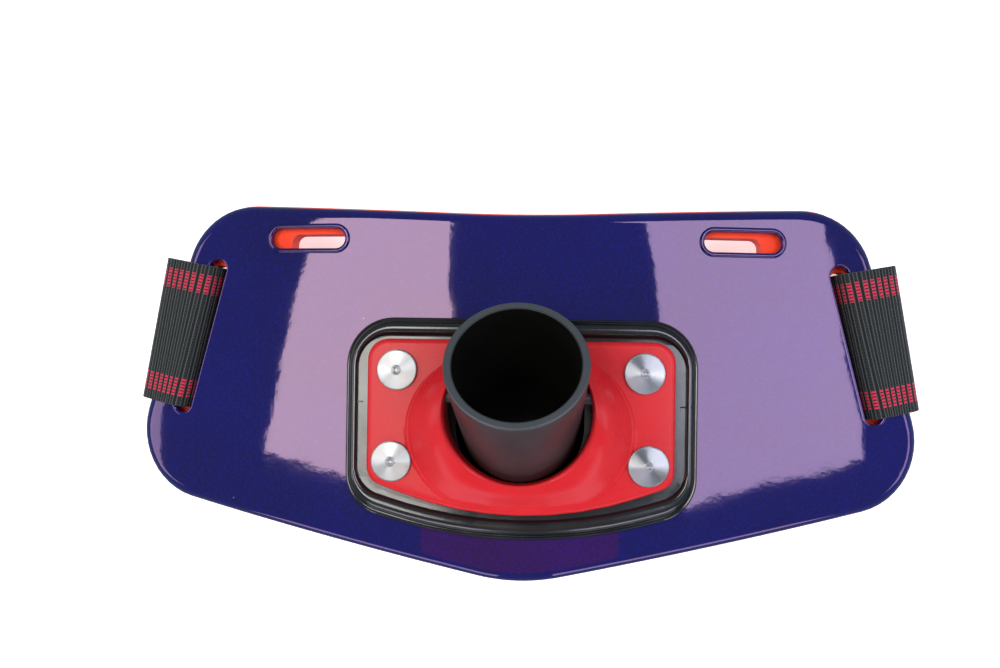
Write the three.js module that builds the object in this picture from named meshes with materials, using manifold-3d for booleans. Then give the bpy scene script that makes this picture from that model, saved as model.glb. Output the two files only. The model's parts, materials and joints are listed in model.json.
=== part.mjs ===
// A fishing fighting belt: a curved hip plate on a foam pad, with a tilting cup for the rod's butt
// and a waist strap of elastic webbing. It lies on its back. Millimetres, +Z up, +X to the right,
// +Y to the plate's top edge, origin in the middle of its footprint, on the surface it lies on.
import * as THREE from "three";
import { mergeVertices } from "three/addons/utils/BufferGeometryUtils.js";
import Module from "manifold-3d";

const wasm = await Module();
wasm.setup();

// Gaps between neighbours, and how finely curves are divided
const SEAT_GAP = 0.3;
const ARC_STEP = THREE.MathUtils.degToRad(13);
const BAND_STEPS = 26;

// Hip plate: a moulded shell, bent to one radius round the wearer
const BEND_RADIUS = 400;
const PLATE_SHOULDER_X = 111.8;
const PLATE_SHOULDER_Y = 45.2;
const PLATE_DIP = 4.5;
const PLATE_DIP_RADIUS = 600;
const PLATE_SHOULDER_RADIUS = 25;
const PLATE_HIP_X = 141.3;
const PLATE_HIP_Y = -51.3;
const PLATE_HIP_RADIUS = 24;
const PLATE_APEX_Y = -81.2;
const PLATE_APEX_RADIUS = 66;
const PLATE_WALL = 2.5;
const PLATE_SKIRT = 5;
const PLATE_ROLL = 3.5;

// Foam pad behind the plate
const PAD_THICKNESS = 7;
const PAD_OVERHANG = 1;

// Harness slots near the top edge, and strap slots along the sides
const HARNESS_SLOT_X = 72.6;
const HARNESS_SLOT_Y = 33.1;
const HARNESS_SLOT_LENGTH = 26;
const HARNESS_SLOT_WIDTH = 6.7;
const PAD_SLOT_SHIFT_X = 3.9;
const PAD_SLOT_SHIFT_Y = 2.4;
const PAD_SLOT_LENGTH = 20.5;
const PAD_SLOT_WIDTH = 8;
const PAD_SLOT_CORNER = 3;
const STRAP_SLOT_X = 112.3;
const STRAP_SLOT_Y = -0.5;
const STRAP_SLOT_WIDTH = 6.6;
const STRAP_SLOT_TILT = THREE.MathUtils.degToRad(15.5);
const STRAP_SLOT_SPARE = 5;
const PAD_SLOT_SPARE = 0.4;

// Black cup housing on the plate: its margins show all round the bezel
const HOUSING_SIDE_MARGIN = 7.5;
const HOUSING_TOP_MARGIN = 7;
const HOUSING_TOP_RADIUS = 16;
const HOUSING_CORNER_MARGIN = 8.7;
const HOUSING_CORNER_RADIUS = 14;
const HOUSING_BOW_MARGIN = 7;
const HOUSING_BOW_RADIUS = 165;
const FLANGE_THICKNESS = 1.2;
const RIDGE_INSET = 0.9;
const RIDGE_WIDTH = 2;
const RIDGE_HEIGHT = 1.7;
const BOWL_WALL = 1.8;
const BOWL_CLEARANCE = 1.6;

// Red bezel on the housing
const BEZEL_HALF_WIDTH = 50.6;
const BEZEL_TOP_Y = -0.2;
const BEZEL_TOP_RADIUS = 7;
const BEZEL_CORNER_Y = -47;
const BEZEL_CORNER_RADIUS = 6;
const BEZEL_BOW_Y = -64.4;
const BEZEL_BOW_RADIUS = 122;
const BEZEL_THICKNESS = 2.6;
const BEZEL_ROLL = 1.8;
const OPENING_RADIUS = 23.6;
const OPENING_Y = -23.2;
const CUP_RUNNING_GAP = 1.7;
const COLLAR_REACH = 15.3;
const COLLAR_HEIGHT = 12.2;
const COLLAR_SINK = 1;

// Rod cup, on two trunnions in the bezel's collar
const PIVOT_Y = -18.3;
const PIVOT_Z = 11.5;
const CUP_TILT = THREE.MathUtils.degToRad(31.7);
const CUP_MOUTH_RADIUS = 22.5;
const CUP_BASE_RADIUS = 19.5;
const CUP_WALL = 2.8;
const CUP_MOUTH_REACH = 21.3;
const CUP_BASE_REACH = 18.3;
const CUP_SEAT_RADIUS = 6;
const TRUNNION_RADIUS = 2.2;
const TRUNNION_GRIP = 2.4;
const TURNED_SIDES = 36;

// Rivets
const RIVET_RADIUS = 6.65;
const RIVET_RIM = 0.9;
const RIVET_CROWN = 1.6;
const RIVET_DIMPLE_RADIUS = 1.1;
const RIVET_DIMPLE = 0.5;
const RIVET_SHANK_RADIUS = 2.5;
const RIVET_SIDES = 20;
const RIVET_UPPER_INSET = { x: 10.3, y: 10.2 };
const RIVET_LOWER_INSET = { x: 8.7, y: 6.6 };

// Waist strap: elastic webbing, looped round the plate's side bars and the buckle's bars
const STRAP_WIDTH = 50;
const STRAP_THICKNESS = 1.5;
const STRAP_TILT = THREE.MathUtils.degToRad(11);
const STRAP_FOLD_Y = 2.5;
const STRAP_FOLD_CLEARANCE = 1.1;
const STRAP_TAIL = 14;
const STRAP_COLUMNS = 2;
const STRAP_ROWS = 74;
const STRAP_SKEW = 0.03;
const FOLD_RUN = 8;

// Closed buckle between the two straps, under the arch of the plate
const BUCKLE_LENGTH = 56;
const BUCKLE_BAR = 4;
const BUCKLE_WINDOW = 10;
const BUCKLE_RAIL = 4;
const BUCKLE_THICKNESS = 3;
const BUCKLE_CORNER = 4;
const BUCKLE_TAIL = 18;

// Height of a point on the bent plate: depth 0 is its front face, more is behind it
function bentZ(x, depth) {
  const radius = BEND_RADIUS - depth;
  return Math.sqrt(radius * radius - x * x) - BEND_RADIUS;
}

// Both halves of a symmetric outline from the corners of its right half, going round anticlockwise
function bothHalves(right) {
  const left = right
    .filter((corner) => corner.x !== 0)
    .map((corner) => ({ ...corner, x: -corner.x }))
    .reverse();
  const onAxis = right.filter((corner) => corner.x === 0);
  return [...right.filter((corner) => corner.x !== 0), ...onAxis.slice(0, 1), ...left, ...onAxis.slice(1)];
}

const plateCorners = bothHalves([
  { x: 0, y: PLATE_SHOULDER_Y - PLATE_DIP, r: PLATE_DIP_RADIUS },
  { x: PLATE_HIP_X, y: PLATE_HIP_Y, r: PLATE_HIP_RADIUS },
  { x: PLATE_SHOULDER_X, y: PLATE_SHOULDER_Y, r: PLATE_SHOULDER_RADIUS },
  { x: 0, y: PLATE_APEX_Y, r: PLATE_APEX_RADIUS },
]);

const housingHalfWidth = BEZEL_HALF_WIDTH + HOUSING_SIDE_MARGIN;
const housingCorners = bothHalves([
  { x: housingHalfWidth, y: BEZEL_CORNER_Y - HOUSING_CORNER_MARGIN, r: HOUSING_CORNER_RADIUS },
  { x: housingHalfWidth, y: BEZEL_TOP_Y + HOUSING_TOP_MARGIN, r: HOUSING_TOP_RADIUS },
]).concat({ x: 0, y: BEZEL_BOW_Y - HOUSING_BOW_MARGIN, r: HOUSING_BOW_RADIUS });

const bezelCorners = bothHalves([
  { x: BEZEL_HALF_WIDTH, y: BEZEL_CORNER_Y, r: BEZEL_CORNER_RADIUS },
  { x: BEZEL_HALF_WIDTH, y: BEZEL_TOP_Y, r: BEZEL_TOP_RADIUS },
]).concat({ x: 0, y: BEZEL_BOW_Y, r: BEZEL_BOW_RADIUS });

const rivetSeats = [-1, 1].flatMap((side) => {
  const hand = side < 0 ? "left" : "right";
  const upper = { x: BEZEL_HALF_WIDTH - RIVET_UPPER_INSET.x, y: BEZEL_TOP_Y - RIVET_UPPER_INSET.y };
  const lower = { x: BEZEL_HALF_WIDTH - RIVET_LOWER_INSET.x, y: BEZEL_CORNER_Y + RIVET_LOWER_INSET.y };
  return [
    { name: "rivet_upper_" + hand, x: side * upper.x, y: upper.y },
    { name: "rivet_lower_" + hand, x: side * lower.x, y: lower.y },
  ];
});

// Corners of a slot or a rounded rectangle, turned about its own middle
function slotCorners(x, y, length, width, radius, tilt = 0) {
  const middle = new THREE.Vector2(x, y);
  const signs = [
    [1, -1],
    [1, 1],
    [-1, 1],
    [-1, -1],
  ];
  return signs.map(([a, b]) => {
    const p = new THREE.Vector2((a * length) / 2, (b * width) / 2).rotateAround(new THREE.Vector2(), tilt);
    return { ...p.add(middle), r: radius };
  });
}

// Points round an outline with rounded corners, moved outwards by grow. Its count doesn't depend on grow.
// Two rounded corners share the edge between them, so their radii are limited by its length.
function outline(corners, grow = 0) {
  const count = corners.length;
  const at = (i) => corners[(i + count) % count];
  const edge = (i) => new THREE.Vector2(at(i + 1).x - at(i).x, at(i + 1).y - at(i).y);
  const way = (i) => edge(i).normalize();
  const turnAt = (i) => Math.atan2(way(i - 1).cross(way(i)), way(i - 1).dot(way(i)));
  const tangent = (i) => at(i).r * Math.tan(Math.abs(turnAt(i)) / 2);
  const room = (i) => Math.min(1, (0.999 * edge(i).length()) / (tangent(i) + tangent(i + 1)));
  const points = [];
  for (let i = 0; i < count; i++) {
    const before = way(i - 1);
    const turn = turnAt(i);
    const after = way(i);
    const half = Math.abs(turn) / 2;
    const radius = at(i).r * Math.min(room(i - 1), room(i)) + Math.sign(turn) * grow;
    const outward = new THREE.Vector2(before.y + after.y, -before.x - after.x).normalize();
    const corner = outward.clone().multiplyScalar(grow / Math.cos(half)).add(at(i));
    const centre = outward.clone().multiplyScalar((-Math.sign(turn) * radius) / Math.cos(half)).add(corner);
    const steps = Math.max(2, Math.ceil(Math.abs(turn) / ARC_STEP));
    const start = Math.atan2(-before.x, before.y) + (turn < 0 ? Math.PI : 0);
    for (let k = 0; k <= steps; k++) {
      const angle = start + (turn * k) / steps;
      points.push(new THREE.Vector2(Math.cos(angle), Math.sin(angle)).multiplyScalar(radius).add(centre));
    }
  }
  return points;
}

// Closed skin over rings with equal counts, from the lowest to the highest, with a flat cap at each end
function loft(rings) {
  const count = rings[0].length;
  const flat = (ring) => ring.map((p) => new THREE.Vector2(p.x, p.y));
  const index = [];
  for (let j = 0; j + 1 < rings.length; j++)
    for (let i = 0; i < count; i++) {
      const a = j * count + i;
      const b = j * count + ((i + 1) % count);
      index.push(a, b, b + count, a, b + count, a + count);
    }
  for (const [a, b, c] of THREE.ShapeUtils.triangulateShape(flat(rings[0]), [])) index.push(c, b, a);
  const top = (rings.length - 1) * count;
  for (const [a, b, c] of THREE.ShapeUtils.triangulateShape(flat(rings.at(-1)), []))
    index.push(top + a, top + b, top + c);
  const geometry = new THREE.BufferGeometry().setFromPoints(rings.flat());
  return geometry.setIndex(index);
}

function solidOf(geometry) {
  const bare = geometry.index ? geometry.toNonIndexed() : geometry.clone();
  const places = new THREE.BufferGeometry().setAttribute("position", bare.getAttribute("position"));
  const merged = mergeVertices(places, 1e-4);
  return new wasm.Manifold(
    new wasm.Mesh({
      numProp: 3,
      vertProperties: merged.attributes.position.array,
      triVerts: new Uint32Array(merged.index.array),
    }),
  );
}

function geometryOf(solid) {
  const { vertProperties, triVerts } = solid.getMesh();
  const geometry = new THREE.BufferGeometry();
  geometry.setAttribute("position", new THREE.BufferAttribute(vertProperties, 3));
  geometry.setIndex(new THREE.BufferAttribute(triVerts, 1));
  return geometry;
}

function piece(name, geometry, finish) {
  const mesh = new THREE.Mesh(geometry, new THREE.MeshStandardMaterial(finish));
  mesh.name = name;
  return mesh;
}

// Upright block of an outline, tall enough to cut through the whole belt
const CUT_HEIGHT = 120;
function prism(points) {
  const lift = (z) => points.map((p) => new THREE.Vector3(p.x, p.y, z));
  return solidOf(loft([lift(-CUT_HEIGHT / 2), lift(CUT_HEIGHT / 2)]));
}

// Band between two depths of the bent plate, longer and wider than the belt
function band(front, back) {
  const reach = PLATE_HIP_X * 1.15;
  const shape = new THREE.Shape();
  const edge = (depth, way) => {
    for (let k = 0; k <= BAND_STEPS; k++) {
      const x = way * reach * ((2 * k) / BAND_STEPS - 1);
      if (way > 0 && k === 0) shape.moveTo(x, bentZ(x, depth));
      else shape.lineTo(x, bentZ(x, depth));
    }
  };
  edge(back, 1);
  edge(front, -1);
  const depth = 2 * (PLATE_SHOULDER_Y - PLATE_APEX_Y);
  const block = new THREE.ExtrudeGeometry(shape, { depth, bevelEnabled: false });
  block.rotateX(Math.PI / 2).translate(0, depth / 2, 0);
  return solidOf(block);
}

// Piece of the bent sheet inside an outline, with its front edge rolled over by a radius
function bentSheet(corners, grow, front, back, roll = 0) {
  const lift = (points, z) => points.map((p) => new THREE.Vector3(p.x, p.y, z));
  const bend = (points, depth) => points.map((p) => new THREE.Vector3(p.x, p.y, bentZ(p.x, depth)));
  if (!roll) return prism(outline(corners, grow)).intersect(band(front, back));
  const rings = [lift(outline(corners, grow), -CUT_HEIGHT / 2)];
  for (const share of [0, 1 / 3, 2 / 3, 1]) {
    const angle = (share * Math.PI) / 2;
    const inset = roll * (1 - Math.cos(angle));
    rings.push(bend(outline(corners, grow - inset), front + roll * (1 - Math.sin(angle))));
  }
  rings.push(lift(outline(corners, grow - roll), CUT_HEIGHT / 2));
  return solidOf(loft(rings)).intersect(band(front, back));
}

// Moves a geometry or a mesh from flat to its place and slope on the bent plate
function seatOnPlate(x, y, depth) {
  const turn = new THREE.Matrix4().makeRotationY(Math.asin(x / BEND_RADIUS));
  return new THREE.Matrix4().makeTranslation(x, y, bentZ(x, depth)).multiply(turn);
}

const padFront = PLATE_SKIRT + SEAT_GAP;
const padBack = padFront + PAD_THICKNESS;
const bezelBack = -(2 * SEAT_GAP + FLANGE_THICKNESS);
const bezelFront = bezelBack - BEZEL_THICKNESS;

function harnessSlots(forPad) {
  const length = forPad ? PAD_SLOT_LENGTH : HARNESS_SLOT_LENGTH;
  const width = forPad ? PAD_SLOT_WIDTH : HARNESS_SLOT_WIDTH;
  const radius = forPad ? PAD_SLOT_CORNER : HARNESS_SLOT_WIDTH / 2;
  const x = HARNESS_SLOT_X - (forPad ? PAD_SLOT_SHIFT_X : 0);
  const y = HARNESS_SLOT_Y - (forPad ? PAD_SLOT_SHIFT_Y : 0);
  const cuts = [-1, 1].map((side) => prism(outline(slotCorners(side * x, y, length, width, radius))));
  return cuts[0].add(cuts[1]);
}

// Both strap slots, widened all round by grow
function strapSlots(grow = 0) {
  const length = STRAP_WIDTH + STRAP_SLOT_SPARE + 2 * grow;
  const width = STRAP_SLOT_WIDTH + 2 * grow;
  const cuts = [-1, 1].map((side) => {
    const tilt = side * (Math.PI / 2 + STRAP_SLOT_TILT);
    return prism(outline(slotCorners(side * STRAP_SLOT_X, STRAP_SLOT_Y, length, width, width / 2, tilt)));
  });
  return cuts[0].add(cuts[1]);
}

// Round-ended well that the cup's lower end swings in, seen from the front
const wellRadius = CUP_BASE_RADIUS + BOWL_CLEARANCE;
function well(grow) {
  const radius = wellRadius + grow;
  const lowY = PIVOT_Y - CUP_BASE_REACH * Math.sin(CUP_TILT);
  const length = PIVOT_Y - lowY + 2 * radius;
  return prism(
    outline(slotCorners(0, (PIVOT_Y + lowY) / 2, length, 2 * radius, radius, Math.PI / 2)),
  );
}

// The shell, with a thicker land round each strap slot
function makePlate() {
  const shell = bentSheet(plateCorners, 0, 0, PLATE_SKIRT, PLATE_ROLL);
  const hollow = bentSheet(plateCorners, -PLATE_WALL, PLATE_WALL, PLATE_SKIRT + 2);
  const lands = strapSlots(PLATE_WALL).intersect(band(PLATE_WALL / 2, PLATE_SKIRT)).intersect(shell);
  return shell
    .subtract(hollow)
    .add(lands)
    .subtract(harnessSlots(false))
    .subtract(strapSlots())
    .subtract(well(BOWL_WALL + SEAT_GAP))
    .subtract(rivetHoles());
}

// The foam: a full layer behind the skirt, and a tongue in front of it that fills the shell
function makePad() {
  const body = bentSheet(plateCorners, PAD_OVERHANG, padFront, padBack);
  const tongue = bentSheet(plateCorners, -PLATE_WALL - SEAT_GAP, PLATE_WALL + SEAT_GAP, padFront + 0.5);
  const landRoom = strapSlots(PLATE_WALL + SEAT_GAP).intersect(band(0, padFront));
  return body
    .add(tongue)
    .subtract(landRoom)
    .subtract(harnessSlots(true))
    .subtract(strapSlots(PAD_SLOT_SPARE))
    .subtract(well(BOWL_WALL + 2 * SEAT_GAP));
}

// Space swept by the cup's round end about the trunnions, as a ring round the X axis through the pivot
function sweptRing(grow) {
  const radius = wellRadius + grow;
  const profile = [new THREE.Vector2(0, -radius)];
  const steps = 10;
  for (let k = 0; k <= steps; k++) {
    const angle = -Math.PI / 2 + (Math.PI * k) / steps;
    const out = CUP_BASE_REACH + radius * Math.cos(angle);
    profile.push(new THREE.Vector2(out, radius * Math.sin(angle)));
  }
  profile.push(new THREE.Vector2(0, radius));
  const ring = new THREE.LatheGeometry(profile, TURNED_SIDES);
  ring.rotateZ(-Math.PI / 2).translate(0, PIVOT_Y, PIVOT_Z);
  return solidOf(ring);
}

// A column at each rivet's seat, square to the plate there, between two heights above the seat
function rivetColumns(radius, low, high) {
  const columns = rivetSeats.map(({ x, y }) => {
    const column = new THREE.CylinderGeometry(radius, radius, high - low, RIVET_SIDES);
    column.rotateX(Math.PI / 2).translate(0, 0, (high + low) / 2);
    return solidOf(column.applyMatrix4(seatOnPlate(x, y, bezelFront)));
  });
  return columns.reduce((all, column) => all.add(column));
}

function rivetHoles() {
  return rivetColumns(RIVET_SHANK_RADIUS + SEAT_GAP, -CUT_HEIGHT / 6, CUT_HEIGHT / 6);
}

function makeHousing() {
  const top = -(SEAT_GAP + FLANGE_THICKNESS);
  const flange = bentSheet(housingCorners, 0, top, -SEAT_GAP, FLANGE_THICKNESS * 0.7);
  const ridge = bentSheet(housingCorners, -RIDGE_INSET, top - RIDGE_HEIGHT, top + 0.3, RIDGE_WIDTH * 0.45)
    .subtract(bentSheet(housingCorners, -RIDGE_INSET - RIDGE_WIDTH, top - RIDGE_HEIGHT - 1, top + 1));
  const below = band(-SEAT_GAP - FLANGE_THICKNESS / 2, CUT_HEIGHT / 2);
  const bowl = well(BOWL_WALL).intersect(sweptRing(BOWL_WALL)).intersect(below);
  const hollow = well(0).intersect(sweptRing(0).add(band(-CUT_HEIGHT / 3, 0)));
  return flange.add(ridge).add(bowl).subtract(hollow).subtract(rivetHoles());
}

// Crescent collar round the opening, by the angle from the belt's lower side: how high its crest stands,
// and how far out its foot lies, as shares of the collar's height and reach
const COLLAR_SECTIONS = [
  { degrees: 0, crest: 0.36, foot: 0.68 },
  { degrees: 27, crest: 0.4, foot: 0.82 },
  { degrees: 43, crest: 0.52, foot: 0.96 },
  { degrees: 58, crest: 0.72, foot: 1.0 },
  { degrees: 71, crest: 0.9, foot: 1.0 },
  { degrees: 84, crest: 1.0, foot: 0.92 },
  { degrees: 97, crest: 1.0, foot: 0.76 },
  { degrees: 110, crest: 0.86, foot: 0.55 },
  { degrees: 122, crest: 0.5, foot: 0.32 },
  { degrees: 134, crest: 0.08, foot: 0.12 },
];
// Across the collar, from the opening's edge to the foot: shares of the foot's distance and the crest
const COLLAR_PROFILE = [
  { out: 0, up: 0.9 },
  { out: 0.1, up: 1 },
  { out: 0.3, up: 0.93 },
  { out: 0.62, up: 0.5 },
  { out: 0.82, up: 0.16 },
  { out: 1, up: 0 },
];

function makeCollar() {
  const mirrored = COLLAR_SECTIONS.slice(1)
    .reverse()
    .map((row) => ({ ...row, degrees: -row.degrees }));
  const rows = [...mirrored, ...COLLAR_SECTIONS].reverse();
  const sections = rows.map(({ degrees, crest, foot }) => {
    const angle = THREE.MathUtils.degToRad(degrees - 90);
    const place = (out, up) => {
      const radius = OPENING_RADIUS - 1 + out;
      const x = radius * Math.cos(angle);
      return new THREE.Vector3(x, OPENING_Y + radius * Math.sin(angle), bentZ(x, bezelFront) + up);
    };
    const reach = foot * COLLAR_REACH + 1;
    const rise = crest * COLLAR_HEIGHT;
    const ring = COLLAR_PROFILE.map(({ out, up }) => place(out * reach, up * rise));
    return [place(0, -COLLAR_SINK), ...ring, place(reach, -COLLAR_SINK)];
  });
  return solidOf(ribbon(sections));
}

// Closed skin over cross-sections with equal counts, each seen clockwise from the section after it
function ribbon(sections) {
  const count = sections[0].length;
  const index = [];
  for (let j = 0; j + 1 < sections.length; j++)
    for (let i = 0; i < count; i++) {
      const a = j * count + i;
      const b = j * count + ((i + 1) % count);
      index.push(a, b + count, b, a, a + count, b + count);
    }
  const last = (sections.length - 1) * count;
  for (let i = 1; i + 1 < count; i++) {
    index.push(0, i, i + 1);
    index.push(last, last + i + 1, last + i);
  }
  const geometry = new THREE.BufferGeometry().setFromPoints(sections.flat());
  return geometry.setIndex(index);
}

function makeBezel() {
  const sheet = bentSheet(bezelCorners, 0, bezelFront, bezelBack, BEZEL_ROLL);
  const round = (radius, y) => {
    const disc = new THREE.CylinderGeometry(radius, radius, CUT_HEIGHT, TURNED_SIDES);
    return solidOf(disc.rotateX(Math.PI / 2).translate(0, y, 0));
  };
  const upperRadius = CUP_BASE_RADIUS + CUP_RUNNING_GAP + 0.8;
  const trunnionHole = new THREE.CylinderGeometry(
    TRUNNION_RADIUS + SEAT_GAP,
    TRUNNION_RADIUS + SEAT_GAP,
    2 * (OPENING_RADIUS + TRUNNION_GRIP + SEAT_GAP),
    RIVET_SIDES,
  );
  trunnionHole.rotateZ(Math.PI / 2).translate(0, PIVOT_Y, PIVOT_Z);
  const rivetRoom = rivetColumns(RIVET_RADIUS + SEAT_GAP, 0, CUT_HEIGHT / 2);
  return sheet
    .add(makeCollar().subtract(rivetRoom))
    .subtract(round(OPENING_RADIUS, OPENING_Y))
    .subtract(round(upperRadius, PIVOT_Y))
    .subtract(solidOf(trunnionHole))
    .subtract(rivetHoles());
}

// Cup profile from the middle of its round end to the rim and down the inside, about its own axis
function makeRodCup() {
  const profile = [];
  const quarter = 5;
  const endZ = -CUP_BASE_REACH;
  for (let k = 0; k <= quarter; k++) {
    const angle = (-Math.PI / 2) * (1 - k / quarter);
    profile.push([CUP_BASE_RADIUS * Math.cos(angle), endZ + CUP_BASE_RADIUS * Math.sin(angle)]);
  }
  profile.push([CUP_MOUTH_RADIUS, CUP_MOUTH_REACH - 0.6]);
  profile.push([CUP_MOUTH_RADIUS - 0.6, CUP_MOUTH_REACH]);
  profile.push([CUP_MOUTH_RADIUS - CUP_WALL + 0.4, CUP_MOUTH_REACH]);
  profile.push([CUP_MOUTH_RADIUS - CUP_WALL, CUP_MOUTH_REACH - 0.4]);
  const innerRadius = CUP_BASE_RADIUS - CUP_WALL;
  const seatAngle = Math.acos(CUP_SEAT_RADIUS / innerRadius);
  for (let k = 0; k <= quarter; k++) {
    const angle = (-seatAngle * k) / quarter;
    profile.push([innerRadius * Math.cos(angle), endZ + innerRadius * Math.sin(angle)]);
  }
  profile.push([0, endZ - innerRadius * Math.sin(seatAngle)]);
  const points = profile.map(([r, z]) => new THREE.Vector2(Math.max(r, 0), z));
  points[0].x = 0;
  const body = new THREE.LatheGeometry(points, TURNED_SIDES).rotateX(Math.PI / 2);
  const stubs = [-1, 1].map((side) => {
    const from = CUP_BASE_RADIUS - CUP_WALL / 2;
    const to = OPENING_RADIUS + TRUNNION_GRIP;
    const stub = new THREE.CylinderGeometry(TRUNNION_RADIUS, TRUNNION_RADIUS, to - from, RIVET_SIDES);
    return solidOf(stub.rotateZ(Math.PI / 2).translate((side * (from + to)) / 2, 0, 0));
  });
  return solidOf(body).add(stubs[0]).add(stubs[1]);
}

function rivetGeometry() {
  const shankEnd = bezelFront - PLATE_WALL + SEAT_GAP;
  const points = [
    [0, shankEnd],
    [RIVET_SHANK_RADIUS, shankEnd],
    [RIVET_SHANK_RADIUS, SEAT_GAP],
    [RIVET_RADIUS, SEAT_GAP],
    [RIVET_RADIUS, SEAT_GAP + RIVET_RIM],
    [RIVET_DIMPLE_RADIUS, SEAT_GAP + RIVET_CROWN],
    [0, SEAT_GAP + RIVET_CROWN - RIVET_DIMPLE],
  ].map(([r, z]) => new THREE.Vector2(r, z));
  return new THREE.LatheGeometry(points, RIVET_SIDES).rotateX(Math.PI / 2);
}

// Floor under the lying belt: two layers of strap below the pad's lowest edge
const padLowest = Math.min(...outline(plateCorners, PAD_OVERHANG).map((p) => bentZ(p.x, padBack)));
const floorZ = padLowest - 2 * (STRAP_THICKNESS + SEAT_GAP);
const mainZ = floorZ + STRAP_THICKNESS / 2;
const tailZ = mainZ + STRAP_THICKNESS + SEAT_GAP;
const buckleZ = floorZ + STRAP_THICKNESS + SEAT_GAP;

// Route of the right strap seen from the front: run is the way inwards from the fold, across is over
// its width. It runs straight, then bends along an arc until it lies square to the buckle. The fold
// stands just outside the pad's side edge, clear of it at both of its ends.
const along = new THREE.Vector2(Math.cos(STRAP_TILT), Math.sin(STRAP_TILT));
const crossways = new THREE.Vector2(-along.y, along.x);
const sideSlope = (PLATE_HIP_X - PLATE_SHOULDER_X) / (PLATE_SHOULDER_Y - PLATE_HIP_Y);
const padSideX = (y) => PLATE_HIP_X - (y - PLATE_HIP_Y) * sideSlope + PAD_OVERHANG * Math.hypot(1, sideSlope);
const foldEnds = [-1, 1].map((side) => crossways.clone().multiplyScalar((side * STRAP_WIDTH) / 2));
const padReach = Math.max(...foldEnds.map((end) => padSideX(STRAP_FOLD_Y + end.y) - end.x));
const foldX = padReach + STRAP_FOLD_CLEARANCE + STRAP_THICKNESS / 2;
const foldMiddle = new THREE.Vector2(foldX, STRAP_FOLD_Y);
const squareX = BUCKLE_LENGTH / 2 + 6;
const bendStart = along.clone().multiplyScalar(-FOLD_RUN).add(foldMiddle);
const bendRadius = (bendStart.x - squareX) / along.y;
const bendCentre = crossways.clone().multiplyScalar(bendRadius).add(bendStart);
const squareRun = FOLD_RUN + bendRadius * STRAP_TILT;
const buckleY = bendCentre.y - bendRadius;

function strapPlace(run, across) {
  if (run <= FOLD_RUN) {
    return foldMiddle.clone().addScaledVector(along, -run).addScaledVector(crossways, across);
  }
  if (run >= squareRun) return new THREE.Vector2(squareX - (run - squareRun), buckleY + across);
  const heading = STRAP_TILT - (run - FOLD_RUN) / bendRadius;
  const out = new THREE.Vector2(-Math.sin(heading), Math.cos(heading));
  return bendCentre.clone().addScaledVector(out, across - bendRadius);
}

// How far in from the fold the strap meets the slot's middle line, for a place across its width
function slotRun(across) {
  const normal = new THREE.Vector2(Math.cos(STRAP_SLOT_TILT), Math.sin(STRAP_SLOT_TILT));
  const from = strapPlace(0, across).sub(new THREE.Vector2(STRAP_SLOT_X, STRAP_SLOT_Y));
  return from.dot(normal) / along.dot(normal);
}

// Quarter turn of the strap's middle line round one corner of the buckle's bar
function roundCorner(run, z, from) {
  const radius = SEAT_GAP + STRAP_THICKNESS / 2;
  return [0, 0.5, 1].map((share) => {
    const angle = from + (share * Math.PI) / 2;
    return [run + radius * Math.sin(angle), z - radius * Math.cos(angle)];
  });
}

// Middle line of the strap for a place across its width: the sewn tail under the side bar, up through
// the slot, over the bar, round the fold, along the floor, and round the buckle's bar
function strapLine(across) {
  const slot = slotRun(across);
  const overPlate = (run, lift) => bentZ(strapPlace(run, across).x, 0) + STRAP_THICKNESS / 2 + lift;
  const barRun = squareRun + squareX - BUCKLE_LENGTH / 2;
  const half = STRAP_THICKNESS / 2;
  const overBar = buckleZ + BUCKLE_THICKNESS + SEAT_GAP + half;
  const foldTop = overPlate(4, 0);
  const stations = [
    [slot - STRAP_TAIL, tailZ],
    [slot - STRAP_TAIL / 2, tailZ],
    [slot - 1.6, tailZ],
    [slot + 0.4, tailZ + 0.7],
    [slot + 1.2, tailZ + 2.6],
    [slot + 1.5, (tailZ + overPlate(slot, 0)) / 2],
    [slot + 1.4, overPlate(slot, -6.2)],
    [slot + 0.4, overPlate(slot, -3.2)],
    [slot - 1.7, overPlate(slot, -0.3)],
    [slot - 4.2, overPlate(slot - 4.2, 0.9)],
    [(slot + 5) / 2, overPlate((slot + 5) / 2, 1)],
    [5, foldTop + 0.6],
    [1.8, foldTop - 1],
    [0.3, foldTop - 4],
    [0, (foldTop + mainZ) / 2],
    [0.4, mainZ + 4],
    [2.2, mainZ + 1],
    [5, mainZ],
    [FOLD_RUN, mainZ],
    [(FOLD_RUN + squareRun) / 3, mainZ],
    [(2 * (FOLD_RUN + squareRun)) / 3, mainZ],
    [squareRun, mainZ],
    [barRun, mainZ],
    ...roundCorner(barRun + BUCKLE_BAR, buckleZ, 0),
    ...roundCorner(barRun + BUCKLE_BAR, buckleZ + BUCKLE_THICKNESS, Math.PI / 2),
    ...roundCorner(barRun, buckleZ + BUCKLE_THICKNESS, Math.PI).slice(0, 2),
    [barRun - 3.5, (overBar + tailZ) / 2],
    [barRun - 7, tailZ + 0.1],
    [barRun - 9, tailZ],
    [barRun - BUCKLE_TAIL, tailZ],
  ].map(([run, z]) => {
    const place = strapPlace(run, across);
    return new THREE.Vector3(place.x, place.y, z);
  });
  return new THREE.CatmullRomCurve3(stations, false, "centripetal");
}

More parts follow.
